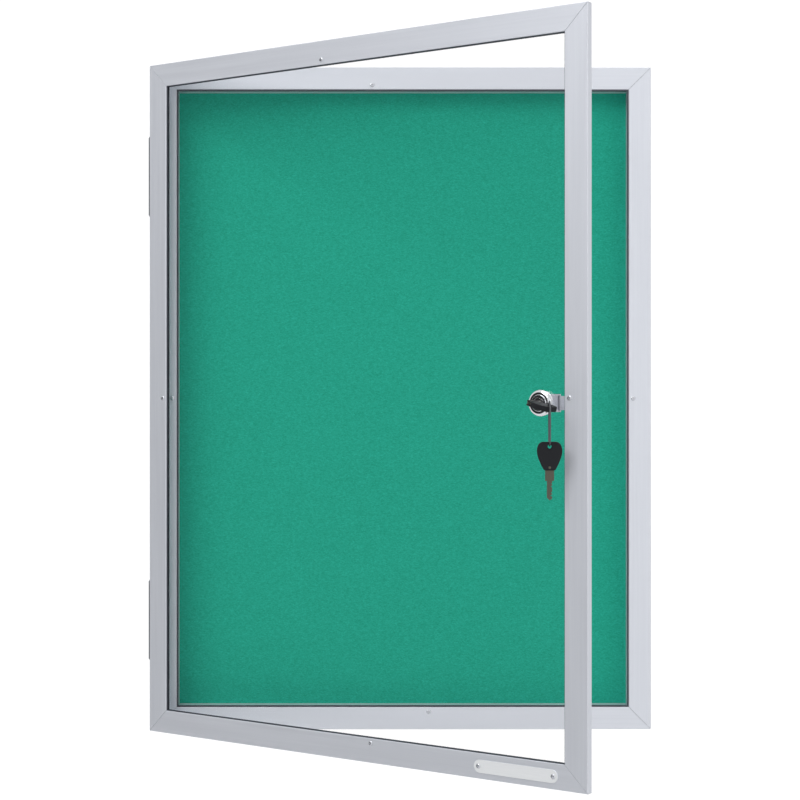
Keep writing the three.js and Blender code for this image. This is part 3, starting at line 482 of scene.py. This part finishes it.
def ring_faces(rings: int, sides: int, closed: bool) -> np.ndarray:
    """The quads between rings of points that stand one after another.

    In words: corner (i, j) joins (i, j + 1), (i + 1, j + 1) and (i + 1, j), with j counted round the ring.

    Args:
        rings: How many rings there are.
        sides: How many points each ring has.
        closed: True if the last ring joins the first.

    Returns:
        One row of four vertex numbers for each quad.
    """
    i, j = np.meshgrid(np.arange(rings if closed else rings - 1), np.arange(sides), indexing="ij")
    after, beside = (i + 1) % rings, (j + 1) % sides
    corners = [i * sides + j, i * sides + beside, after * sides + beside, after * sides + j]
    return np.stack([c.ravel() for c in corners], axis=1)


def turned(
    name: str, profile: np.ndarray, origin: np.ndarray, axis: np.ndarray, sides: int = 48, smooth: float = 40.0
) -> bpy.types.Object:
    """A turned piece: a profile carried round an axis.

    In words: a profile point (r, h) stands at origin + h times the axis + r times (cos a, sin a) across it.
    The profile starts and ends on the axis, where one vertex closes it.

    Args:
        name: The piece's name.
        profile: Rows of radius and height, from the piece's foot to its top.
        origin: Where height 0 is.
        axis: The way that height grows.
        sides: How many steps go round.
        smooth: The turn between faces above which an edge stays sharp, in degrees.

    Returns:
        The closed piece.
    """
    w = np.asarray(axis, float) / np.linalg.norm(axis)
    u = np.cross(w, [0.0, 0.0, 1.0] if abs(w[2]) < 0.9 else [1.0, 0.0, 0.0])
    u /= np.linalg.norm(u)
    v = np.cross(w, u)
    a = np.linspace(0.0, 2.0 * math.pi, sides, endpoint=False)
    body = profile[1:-1]
    across = np.cos(a)[:, None] * u + np.sin(a)[:, None] * v
    rings = body[:, 1][:, None, None] * w + body[:, 0][:, None, None] * across[None] + origin
    poles = np.array([origin + profile[0, 1] * w, origin + profile[-1, 1] * w])
    points = np.concatenate([rings.reshape(-1, 3), poles])
    count = len(body)
    foot, top = count * sides, count * sides + 1
    faces = [tuple(q) for q in ring_faces(count, sides, False).tolist()]
    step = np.arange(sides)
    following = (step + 1) % sides
    faces += [(foot, int(b), int(c)) for b, c in zip(following, step)]
    last = (count - 1) * sides
    faces += [(top, int(last + c), int(last + b)) for b, c in zip(following, step)]
    return surface(name, points, faces, smooth)


def arc(
    start: float, end: float, centre: tuple[float, float], radii: tuple[float, float], steps: int
) -> np.ndarray:
    """Points of part of an ellipse: centre plus (first radius times cos t, second radius times sin t).

    Args:
        start: The first angle in degrees.
        end: The last angle in degrees.
        centre: The ellipse's centre.
        radii: Its two half widths.
        steps: How many points it gets.

    Returns:
        Rows of two numbers.
    """
    t = np.radians(np.linspace(start, end, steps))
    return np.stack([centre[0] + radii[0] * np.cos(t), centre[1] + radii[1] * np.sin(t)], axis=1)


@dataclass
class BlindRivets:
    """The rivets of the case, the door, the hinges and the nameplate, in metres."""

    wardrobe: Wardrobe
    head_radius: float = 2.1 * MM
    dome: float = 0.8 * MM
    bore: float = 0.85 * MM
    stub: float = 0.3 * MM
    well: float = 0.6 * MM
    shank_radius: float = 1.2 * MM
    from_inner_edge: float = 4.2 * MM
    case_top_x: float = -28 * MM
    case_bottom_x: float = 24 * MM
    door_top_x: float = -30 * MM
    door_bottom_x: float = 22 * MM
    case_wall: float = 1.5 * MM
    door_wall: float = 0.9 * MM
    plate_x: float = HALF_WIDTH - 65 * MM
    plate_pitch: float = 69 * MM
    plate_thickness: float = 0.6 * MM
    hinge_from_end: float = 64 * MM
    hinge_length: float = 75 * MM
    hinge_pitch: float = 30 * MM
    hinge_head_radius: float = 1.6 * MM
    hinge_shank_radius: float = 0.8 * MM
    leaf_thickness: float = 1.0 * MM
    case_leaf_width: float = 18 * MM
    door_leaf_width: float = 6.2 * MM

    def profile(self, shank: float, hollow: bool) -> np.ndarray:
        """A rivet's profile from the foot of its shank to the middle of its head.

        In words: up the shank, out under the head, over a quarter ellipse, and down into the pulled pin's
        hole, where the stub of the pin is left. A solid head closes in the middle instead.

        Args:
            shank: The shank's length under the head.
            hollow: True for a head with the pin's hole.

        Returns:
            Rows of radius and height over the face that the head sits on.
        """
        inner = self.bore if hollow else 0.0
        head = self.head_radius if hollow else self.hinge_head_radius
        stem = self.shank_radius if hollow else self.hinge_shank_radius
        over = arc(0, 90, (inner, 0.1 * self.dome), (head - inner, 0.9 * self.dome), 12)
        foot = [[0.0, -shank], [stem, -shank], [stem, 0.0], [head, 0.0]]
        if not hollow:
            over[-1, 0] = 0.0
            return np.concatenate([foot, over])
        stub_top = -0.5 * self.well
        well = [[self.bore, -self.well], [self.stub, -self.well], [self.stub, stub_top], [0.0, stub_top]]
        return np.concatenate([foot, over, well])

    def _add(
        self, node: str, body: str, origin: np.ndarray, out: np.ndarray, shank: float, hollow: bool
    ) -> bpy.types.Object:
        """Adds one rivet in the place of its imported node.

        Args:
            node: The node that the rivet stands for.
            body: The body that it moves with.
            origin: The middle of its seat.
            out: The way that its head faces.
            shank: The shank's length.
            hollow: True for a head with the pin's hole.

        Returns:
            The rivet.
        """
        if body == "door":
            out = on_open_door(origin + out) - on_open_door(origin)
            origin = on_open_door(origin)
        rivet = turned(f"{node}_turned", self.profile(shank, hollow), origin, out, sides=28, smooth=35.0)
        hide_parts(node)
        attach(rivet, body)
        self.wardrobe.dress(rivet, BRIGHT)
        return rivet

    def build(self) -> None:
        """Adds every rivet."""
        front = np.array([0.0, -1.0, 0.0])
        inset = FACE_WIDTH - self.from_inner_edge
        rows = [
            ("case", -CASE_DEPTH - SEAT_GAP, self.case_top_x, self.case_bottom_x, 2 * self.case_wall),
            ("door", DOOR_FRONT - SEAT_GAP, self.door_top_x, self.door_bottom_x, self.door_wall),
        ]
        for body, y, top_x, bottom_x, shank in rows:
            places = {
                "rail_top": (top_x, HALF_HEIGHT - inset),
                "rail_bottom": (bottom_x, -HALF_HEIGHT + inset),
                "stile_left": (-HALF_WIDTH + inset, 0.0),
                "stile_right": (HALF_WIDTH - inset, 0.0),
            }
            for member, (x, z) in places.items():
                self._add(f"{body}_rivet_{member}", body, np.array([x, y, z]), front, shank, True)
        plate_y = DOOR_FRONT - 2 * SEAT_GAP - self.plate_thickness
        shank = self.plate_thickness + self.door_wall
        for number, sign in ((1, -1), (2, 1)):
            x = self.plate_x + sign * self.plate_pitch / 2
            place = np.array([x, plate_y, -HALF_HEIGHT + FACE_WIDTH / 2])
            self._add(f"nameplate_rivet_{number}", "door", place, front, shank, True)
        self._add_hinge_rivets()
        LOG.info("rivets built")

    def _add_hinge_rivets(self) -> None:
        """Adds the solid-headed rivets that hold the hinge leaves to the side faces."""
        face = -HALF_WIDTH - FIT_GAP - self.leaf_thickness - SEAT_GAP
        shank = self.leaf_thickness + FIT_GAP + self.case_wall
        side = np.array([-1.0, 0.0, 0.0])
        for place, up in (("upper", 1), ("lower", -1)):
            middle = up * (HALF_HEIGHT - self.hinge_from_end - self.hinge_length / 2)
            for owner, way, width in (("case", 1, self.case_leaf_width), ("door", -1, self.door_leaf_width)):
                y = HINGE_Y + way * (width + 2.1 * MM) / 2
                for end, high in (("top", 1), ("foot", -1)):
                    spot = np.array([face, y, middle + high * self.hinge_pitch / 2])
                    self._add(f"{owner}_hinge_rivet_{place}_{end}", owner, spot, side, shank, False)


@dataclass
class CamLock:
    """The lock's chrome head and barrel, turned about the lock's own axis."""

    wardrobe: Wardrobe
    x: float = HALF_WIDTH - 42 * MM
    z: float = -4 * MM
    head_radius: float = 10.5 * MM
    proud: float = 3.5 * MM
    bore: float = 4.5 * MM
    barrel_radius: float = 6.0 * MM
    barrel_end: float = 12 * MM
    head_back: float = 1.7 * MM

    def profile(self) -> np.ndarray:
        """The head and barrel as one closed ring.

        In words: from the bore's mouth outwards over a flat ring, down a step, over a rounded shoulder to the
        rim, back along the rim, in under the head, along the barrel, and forwards through the bore.

        Returns:
            Rows of radius and height, height growing towards the front.
        """
        ring_edge = 0.62 * self.head_radius
        shoulder = arc(90, 0, (0.72 * self.head_radius, 0.12 * self.proud),
                       (0.28 * self.head_radius, 0.70 * self.proud), 14)
        return np.concatenate([
            [[self.bore, 0.96 * self.proud], [self.bore + 0.15 * MM, self.proud],
             [ring_edge - 0.2 * MM, self.proud], [ring_edge, 0.95 * self.proud],
             [ring_edge + 0.1 * MM, 0.84 * self.proud]],
            shoulder,
            [[self.head_radius, 0.0], [self.head_radius, -self.head_back],
             [self.barrel_radius, -self.head_back], [self.barrel_radius, -self.barrel_end],
             [self.bore, -self.barrel_end]],
        ])

    def build(self) -> None:
        """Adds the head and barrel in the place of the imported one."""
        origin = np.array([self.x, DOOR_FRONT, self.z])
        out = on_open_door(origin + [0.0, -1.0, 0.0]) - on_open_door(origin)
        head = ring_of_revolution("lock_head_turned", self.profile(), on_open_door(origin), out)
        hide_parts("lock_body")
        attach(head, "door")
        self.wardrobe.dress(head, CHROME)
        LOG.info("lock head built")


def ring_of_revolution(
    name: str, profile: np.ndarray, origin: np.ndarray, axis: np.ndarray, sides: int = 96
) -> bpy.types.Object:
    """A turned piece with a hole through it: a closed profile carried round an axis.

    In words: as for a turned piece, but the profile's last point joins its first, and none is on the axis.

    Args:
        name: The piece's name.
        profile: Rows of radius and height, clockwise as seen with the axis upright and the piece to its right.
        origin: Where height 0 is.
        axis: The way that height grows.
        sides: How many steps go round.

    Returns:
        The closed piece.
    """
    w = np.asarray(axis, float) / np.linalg.norm(axis)
    u = np.cross(w, [0.0, 0.0, 1.0])
    u /= np.linalg.norm(u)
    v = np.cross(w, u)
    a = np.linspace(0.0, 2.0 * math.pi, sides, endpoint=False)
    across = np.cos(a)[:, None] * u + np.sin(a)[:, None] * v
    rings = profile[:, 1][:, None, None] * w + profile[:, 0][:, None, None] * across[None] + origin
    faces = [tuple(q) for q in ring_faces(len(profile), sides, True)[:, ::-1].tolist()]
    return surface(name, rings, faces, 32.0)


@dataclass
class KeySet:
    """The two folding keys and the wire loop that joins them."""

    wardrobe: Wardrobe
    lock_x: float = HALF_WIDTH - 42 * MM
    lock_z: float = -4 * MM
    tilt: float = math.radians(15)
    pivot_depth: float = -14.0 * MM
    reach: float = 16.2 * MM
    wire_radius: float = 0.6 * MM
    loop_radius: float = 5.8 * MM
    straight: float = 22.5 * MM
    rise: float = 0.3 * MM
    bow_length: float = 22 * MM
    bow_half_width: float = 9.7 * MM
    bow_half_neck: float = 4.3 * MM
    bow_half_thickness: float = 2.1 * MM
    bow_corner: float = 5 * MM
    from_neck: float = 2.2 * MM
    hole_radius: float = 1.6 * MM
    edge_round: float = 0.9 * MM
    dish: float = 0.35 * MM
    dish_inset: float = 2.4 * MM
    fork_half: float = 1.15 * MM
    fork_end: float = 3.7 * MM
    slack: float = 0.4565 * MM

    def bow_outline(self, steps: int = 24) -> np.ndarray:
        """The grip's outline in its own plane, X along it from the fold pin and Y across it.

        In words: on each side a cubic curve swells from the neck to the shoulder, and another rounds the
        corner to the straight end. A cubic curve is the sum of its four corner points times (1 - t) cubed,
        3 t (1 - t) squared, 3 t squared (1 - t) and t cubed.

        Args:
            steps: How many points each curve gets.

        Returns:
            Rows of X and Y, anticlockwise from the neck.
        """
        end, half = self.bow_length - self.from_neck, self.bow_half_width
        shoulder, neck, corner = end - 0.34 * self.bow_length, self.bow_half_neck, self.bow_corner
        flank = np.array([[-self.from_neck, -neck], [0.0, -1.25 * neck],
                          [0.6 * shoulder, -half], [shoulder, -half]])
        turn = np.array([[shoulder, -half], [end - 0.4 * corner, -half], [end, -half + 0.5 * corner],
                         [end, -half + corner]])
        t = np.linspace(0.0, 1.0, steps)[:, None]
        weights = np.concatenate([(1 - t) ** 3, 3 * t * (1 - t) ** 2, 3 * t ** 2 * (1 - t), t ** 3], axis=1)
        lower = np.concatenate([weights @ flank, (weights @ turn)[1:]])
        return np.concatenate([lower, (lower * [1.0, -1.0])[::-1]])

    def grip_points(self, sides: int = 120) -> tuple[np.ndarray, int]:
        """The grip as rings about the loop's hole, each ring at one step of the profile.

        In words: along each direction from the hole's middle the outline stands at its own distance. The
        profile goes up the hole's wall, out over the face, which dips by a smooth step inside a rim, over a
        rounded edge, and back under in the same way.

        Args:
            sides: How many directions there are.

        Returns:
            The points by ring and direction, and the number of rings.
        """
        middle = np.array([self.reach, 0.0])
        outline = self.bow_outline() - middle
        corners = np.concatenate([outline, outline[:1]])
        share = np.linspace(0.0, 1.0, 16, endpoint=False)[:, None, None]
        edge = (corners[:-1] + share * np.diff(corners, axis=0)).reshape(-1, 2)
        a = np.linspace(-math.pi, math.pi, sides, endpoint=False)
        bearing, far = np.arctan2(edge[:, 1], edge[:, 0]), np.hypot(edge[:, 0], edge[:, 1])
        reach = np.interp(a, bearing, far, period=2 * math.pi)
        flat = np.linspace(0.0, 1.0, 14)
        start, stop = self.hole_radius + 0.3 * MM, reach - self.edge_round
        out = start + flat[:, None] * (stop - start)
        inside = np.minimum(out - self.hole_radius, stop[None] - out) / self.dish_inset
        dip = self.dish * np.clip(inside, 0, 1) ** 2 * (3 - 2 * np.clip(inside, 0, 1))
        face = self.bow_half_thickness - dip
        phi = np.radians(np.linspace(75, 0, 6))[:, None]
        rim_out = stop[None] + self.edge_round * np.cos(phi)
        rim_up = self.bow_half_thickness - self.edge_round + self.edge_round * np.sin(phi) + 0 * stop[None]
        wall = np.full((1, sides), self.hole_radius)
        top_out = np.concatenate([wall, out, rim_out])
        top_up = np.concatenate([wall * 0 + self.bow_half_thickness - 0.3 * MM, face, rim_up])
        all_out = np.concatenate([top_out, top_out[::-1][1:]])
        all_up = np.concatenate([top_up, -top_up[::-1][1:]])
        x = middle[0] + all_out * np.cos(a)
        y = all_out * np.sin(a)
        return np.stack([x, y, all_up], axis=-1), len(all_out)

    def in_lock(self, points: np.ndarray) -> np.ndarray:
        """Carries a key's own X, Y and Z to the key in the lock: along the tilt, into the door and across."""
        c, s = math.cos(self.tilt), math.sin(self.tilt)
        spun = points @ np.array([[c, 0.0, -s], [0.0, 1.0, 0.0], [s, 0.0, c]])
        return on_open_door(spun + [self.lock_x, DOOR_FRONT + self.pivot_depth, self.lock_z])

    def hanging(self, points: np.ndarray) -> np.ndarray:
        """Carries a key's own X, Y and Z to the spare key: up, across and to the wall from the loop's foot."""
        hole = self.in_lock(np.array([self.reach, 0.0, 0.0]))
        drop = self.rise + self.straight + self.loop_radius + self.slack + self.reach
        return hole + points[..., [1, 2, 0]] - [0.0, self.loop_radius, drop]

    def add_grip(self, node: str, body: str, place: Callable[[np.ndarray], np.ndarray]) -> None:
        """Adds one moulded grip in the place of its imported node, with the fork cut for the blade's tang.

        Args:
            node: The node that the grip stands for.
            body: The body that it moves with.
            place: What carries the key's own frame to the board's.
        """
        points, rings = self.grip_points()
        faces = [tuple(q) for q in ring_faces(rings, points.shape[1], True)[:, ::-1].tolist()]
        grip = surface(f"{node}_moulded", points, faces, 50.0)
        low = np.array([-self.from_neck - 2 * MM, -self.bow_half_width, -self.fork_half])
        high = np.array([self.fork_end, self.bow_half_width, self.fork_half])
        cut_away(grip, low, high)
        own = np.array([v.co for v in grip.data.vertices])
        grip.data.vertices.foreach_set("co", place(own).astype(np.float32).ravel())
        grip.data.update()
        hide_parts(node)
        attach(grip, body)
        self.wardrobe.dress(grip, GRIP)
        LOG.info("%s built", grip.name)

    def loop_path(self, steps: int = 64) -> np.ndarray:
        """The loop's centre line while the door stands open.

        In words: a half circle over the top, a straight leg, a half circle under the foot and a straight leg,
        in the plane square to the case's face that goes through the hole in the key's grip.

        Args:
            steps: How many points each half circle gets.

        Returns:
            Rows of X, Y and Z, once round without repeating the first.
        """
        x, y, z = on_open_door(np.array([
            self.lock_x + self.reach * math.cos(self.tilt), DOOR_FRONT + self.pivot_depth,
            self.lock_z - self.reach * math.sin(self.tilt),
        ]))
        radius = self.loop_radius
        top = arc(0, 180, (y - radius, z - self.rise), (radius, radius), steps)
        foot = arc(180, 360, (y - radius, z - self.rise - self.straight), (radius, radius), steps)
        sides = np.concatenate([top, foot])
        return np.column_stack([np.full(len(sides), x), sides])

    def build(self) -> None:
        """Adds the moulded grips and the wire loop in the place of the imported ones."""
        self.add_grip("key_bow", "key_bow", self.in_lock)
        self.add_grip("spare_key_bow", "spare_bow", self.hanging)
        loop = closed_wire("key_loop_wire", self.loop_path(), self.wire_radius, np.array([1.0, 0.0, 0.0]))
        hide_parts("key_loop")
        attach(loop, "key_loop")
        self.wardrobe.dress(loop, WIRE)
        LOG.info("key loop built")


def closed_wire(
    name: str, path: np.ndarray, radius: float, normal: np.ndarray, sides: int = 20
) -> bpy.types.Object:
    """A round wire along a closed flat path.

    In words: at each path point a ring of points stands across the path's direction, at the wire's radius,
    spanned by the plane's normal and the normal crossed with the direction.

    Args:
        name: The piece's name.
        path: Rows of X, Y and Z in one plane.
        radius: The wire's radius.
        normal: The plane's unit normal.
        sides: How many points go round the wire.

    Returns:
        The closed piece.
    """
    along = np.roll(path, -1, axis=0) - np.roll(path, 1, axis=0)
    along /= np.linalg.norm(along, axis=1)[:, None]
    beside = np.cross(normal, along)
    a = np.linspace(0.0, 2.0 * math.pi, sides, endpoint=False)
    rings = path[:, None, :] + radius * (
        np.cos(a)[None, :, None] * beside[:, None, :] + np.sin(a)[None, :, None] * normal[None, None, :]
    )
    return surface(name, rings, [tuple(q) for q in ring_faces(len(path), sides, True).tolist()], 80.0)


def cut_away(obj: bpy.types.Object, low: np.ndarray, high: np.ndarray) -> None:
    """Takes a box between two corners out of a closed piece, and keeps the result as the piece's mesh.

    Args:
        obj: The closed piece.
        low: The box's lowest corner.
        high: The box's highest corner.
    """
    spans = zip(low, high)
    corners = np.array(list(itertools.product(*spans)))
    faces = [(0, 1, 3, 2), (4, 6, 7, 5), (0, 4, 5, 1), (2, 3, 7, 6), (0, 2, 6, 4), (1, 5, 7, 3)]
    tool = surface("fork_box", corners, faces, 30.0)
    modifier = obj.modifiers.new("fork", "BOOLEAN")
    modifier.operation, modifier.solver, modifier.object = "DIFFERENCE", "EXACT", tool
    bpy.context.view_layer.update()
    depsgraph = bpy.context.evaluated_depsgraph_get()
    whole = obj.data
    obj_mesh = bpy.data.meshes.new_from_object(obj.evaluated_get(depsgraph))
    obj.modifiers.clear()
    obj.data = obj_mesh
    bpy.data.meshes.remove(whole)
    bpy.data.objects.remove(tool)


@dataclass
class Studio:
    """The plain studio: camera, soft lamps, white surroundings and a pale floor."""

    camera_place: tuple[float, float, float] = (-0.0028, -1.6543, -0.0016)
    lens_mm: float = 79.3
    sensor_mm: float = 36.0
    flag_direction: tuple[float, float, float] = (-0.94, -0.34, 0.0)
    backdrop_light: float = 1.1
    matt_light: float = 0.72
    floor_z: float = -0.62
    floor_size: float = 14.0
    lamps: list[tuple[str, tuple[float, float, float], float, float]] = field(default_factory=lambda: [
        ("soft_key_left", (-1.6, -2.2, 1.7), 1.6, 34.0),
        ("soft_fill_right", (2.0, -2.0, 0.6), 1.8, 6.0),
        ("soft_top", (0.2, -0.6, 2.2), 1.6, 13.0),
    ])

    def build(self) -> None:
        """Makes the camera, the lamps, the surroundings and the floor."""
        self._add_camera()
        for name, place, size, watts in self.lamps:
            self._add_lamp(name, place, size, watts)
        self._set_world()
        self._add_floor()
        bpy.context.scene.view_settings.view_transform = "Standard"
        LOG.info("studio built")

    def _add_camera(self) -> None:
        """Makes the camera at the photograph's viewing place, looking along +Y."""
        data = bpy.data.cameras.new("front_camera")
        data.lens = self.lens_mm
        data.sensor_width = self.sensor_mm
        data.clip_start, data.clip_end = 0.02, 60.0
        camera = bpy.data.objects.new("front_camera", data)
        camera.location = self.camera_place
        camera.rotation_euler = (math.radians(90), 0.0, 0.0)
        bpy.context.scene.collection.objects.link(camera)
        bpy.context.scene.camera = camera

    def _add_lamp(self, name: str, place: tuple[float, float, float], size: float, watts: float) -> None:
        """Adds one soft square lamp that faces the board.

        Args:
            name: The lamp's name.
            place: Where it stands.
            size: Its side in metres.
            watts: Its power.
        """
        data = bpy.data.lights.new(name, "AREA")
        data.size, data.energy = size, watts
        lamp = bpy.data.objects.new(name, data)
        lamp.location = place
        lamp.rotation_euler = (-Vector(place)).to_track_quat("-Z", "Y").to_euler()
        bpy.context.scene.collection.objects.link(lamp)

    def _set_world(self) -> None:
        """White surroundings for the camera, softer light on matt surfaces, and a flag against glare.

        What mirrors see is pale all round but for a dark flag at the left, where the open door's sheet looks.
        """
        world = bpy.data.worlds.new("white_studio")
        world.use_nodes = True
        tree = world.node_tree
        tree.nodes.clear()
        ray = add_node(tree, "ShaderNodeTexCoord").outputs["Generated"]
        room, mirrored = mirror_view(tree, ray, self.flag_direction)
        unseen = add_node(
            tree, "ShaderNodeMix", {"data_type": "FLOAT", 2: self.matt_light}, {0: mirrored, 3: room}
        )
        strength = add_node(
            tree, "ShaderNodeMix", {"data_type": "FLOAT", 3: self.backdrop_light},
            {0: seen_directly(tree), 2: unseen.outputs[0]},
        )
        back = add_node(
            tree, "ShaderNodeBackground", {"Color": linear("#FFFFFF")}, {"Strength": strength.outputs[0]}
        )
        add_node(tree, "ShaderNodeOutputWorld", {}, {"Surface": back.outputs[0]})
        bpy.context.scene.world = world

    def _add_floor(self) -> None:
        """A pale floor well below the board, which shows as white, and which mirrors see as they see the room."""
        half = self.floor_size / 2
        corners = np.array([[-half, -half], [half, -half], [half, half], [-half, half]])
        points = np.column_stack([corners, np.full(4, self.floor_z)])
        floor = surface("pale_floor", points, [(0, 1, 2, 3)], 30.0)
        material = bpy.data.materials.new("pale studio floor")
        material.use_nodes = True
        tree = material.node_tree
        shader = tree.nodes["Principled BSDF"]
        shader.inputs["Base Color"].default_value = linear("#F4F4F4")
        shader.inputs["Roughness"].default_value = 0.9
        glow = add_node(
            tree, "ShaderNodeEmission", {"Color": linear("#FFFFFF"), "Strength": self.backdrop_light}
        )
        # All but a hundredth of what is seen is glow, so that a trace of the board's shadow stays
        share = add_node(tree, "ShaderNodeMath", {"operation": "MULTIPLY", 1: 0.99}, {0: seen_directly(tree)})
        # The incoming direction points back along the ray, so the flag's direction is turned round
        back = tuple(-v for v in self.flag_direction)
        room, mirrored = mirror_view(tree, add_node(tree, "ShaderNodeNewGeometry").outputs["Incoming"], back)
        dim = add_node(tree, "ShaderNodeEmission", {"Color": linear("#FFFFFF")}, {"Strength": room})
        unseen = add_node(tree, "ShaderNodeMixShader", {}, {0: mirrored, 1: shader.outputs[0], 2: dim.outputs[0]})
        both = add_node(
            tree, "ShaderNodeMixShader", {}, {0: share.outputs[0], 1: unseen.outputs[0], 2: glow.outputs[0]}
        )
        tree.links.new(both.outputs[0], tree.nodes["Material Output"].inputs["Surface"])
        floor.data.materials.append(material)


def mirror_view(
    tree: bpy.types.NodeTree, ray: bpy.types.NodeSocket, flag: tuple[float, float, float]
) -> tuple[bpy.types.NodeSocket, bpy.types.NodeSocket]:
    """What a mirror sees of the studio: pale all round, but for a dark flag that keeps glare off the sheet.

    Args:
        tree: The node tree that gets the nodes.
        ray: The direction that is looked along.
        flag: The direction of the flag's middle.

    Returns:
        How bright the room is along the ray, and one where the ray was mirrored before, else nought.
    """
    toward = add_node(tree, "ShaderNodeVectorMath", {"operation": "DOT_PRODUCT", 1: flag}, {0: ray})
    room = add_node(
        tree, "ShaderNodeMapRange",
        {"interpolation_type": "SMOOTHSTEP", 1: FLAG_EDGE[0], 2: FLAG_EDGE[1], 3: ROOM_LIGHT, 4: FLAG_LIGHT},
        {0: toward.outputs["Value"]},
    )
    path = add_node(tree, "ShaderNodeLightPath")
    mirrored = add_node(
        tree, "ShaderNodeMath", {"operation": "ADD", "use_clamp": True},
        {0: path.outputs["Is Glossy Ray"], 1: path.outputs["Glossy Depth"]},
    )
    return room.outputs[0], mirrored.outputs[0]


def seen_directly(tree: bpy.types.NodeTree) -> bpy.types.NodeSocket:
    """One where the camera looks straight, or straight through the clear sheet, at something, else nought.

    Args:
        tree: The node tree that gets the nodes.

    Returns:
        The socket that carries the answer.
    """
    path = add_node(tree, "ShaderNodeLightPath")
    unmirrored = add_node(
        tree, "ShaderNodeMath", {"operation": "LESS_THAN", 1: 0.5}, {0: path.outputs["Glossy Depth"]}
    )
    through = add_node(
        tree, "ShaderNodeMath", {"operation": "MULTIPLY"},
        {0: path.outputs["Is Transmission Ray"], 1: unmirrored.outputs[0]},
    )
    return add_node(
        tree, "ShaderNodeMath", {"operation": "MAXIMUM"}, {0: path.outputs["Is Camera Ray"], 1: through.outputs[0]}
    ).outputs[0]


def main() -> None:
    """Builds the studio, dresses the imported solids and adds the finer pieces."""
    logging.basicConfig(level=logging.INFO, format="%(name)s: %(message)s")
    Studio().build()
    wardrobe = Wardrobe()
    wardrobe.dress_nodes()
    BlindRivets(wardrobe).build()
    CamLock(wardrobe).build()
    KeySet(wardrobe).build()


if __name__ == "__main__":
    main()
    bpy.context.view_layer.update()
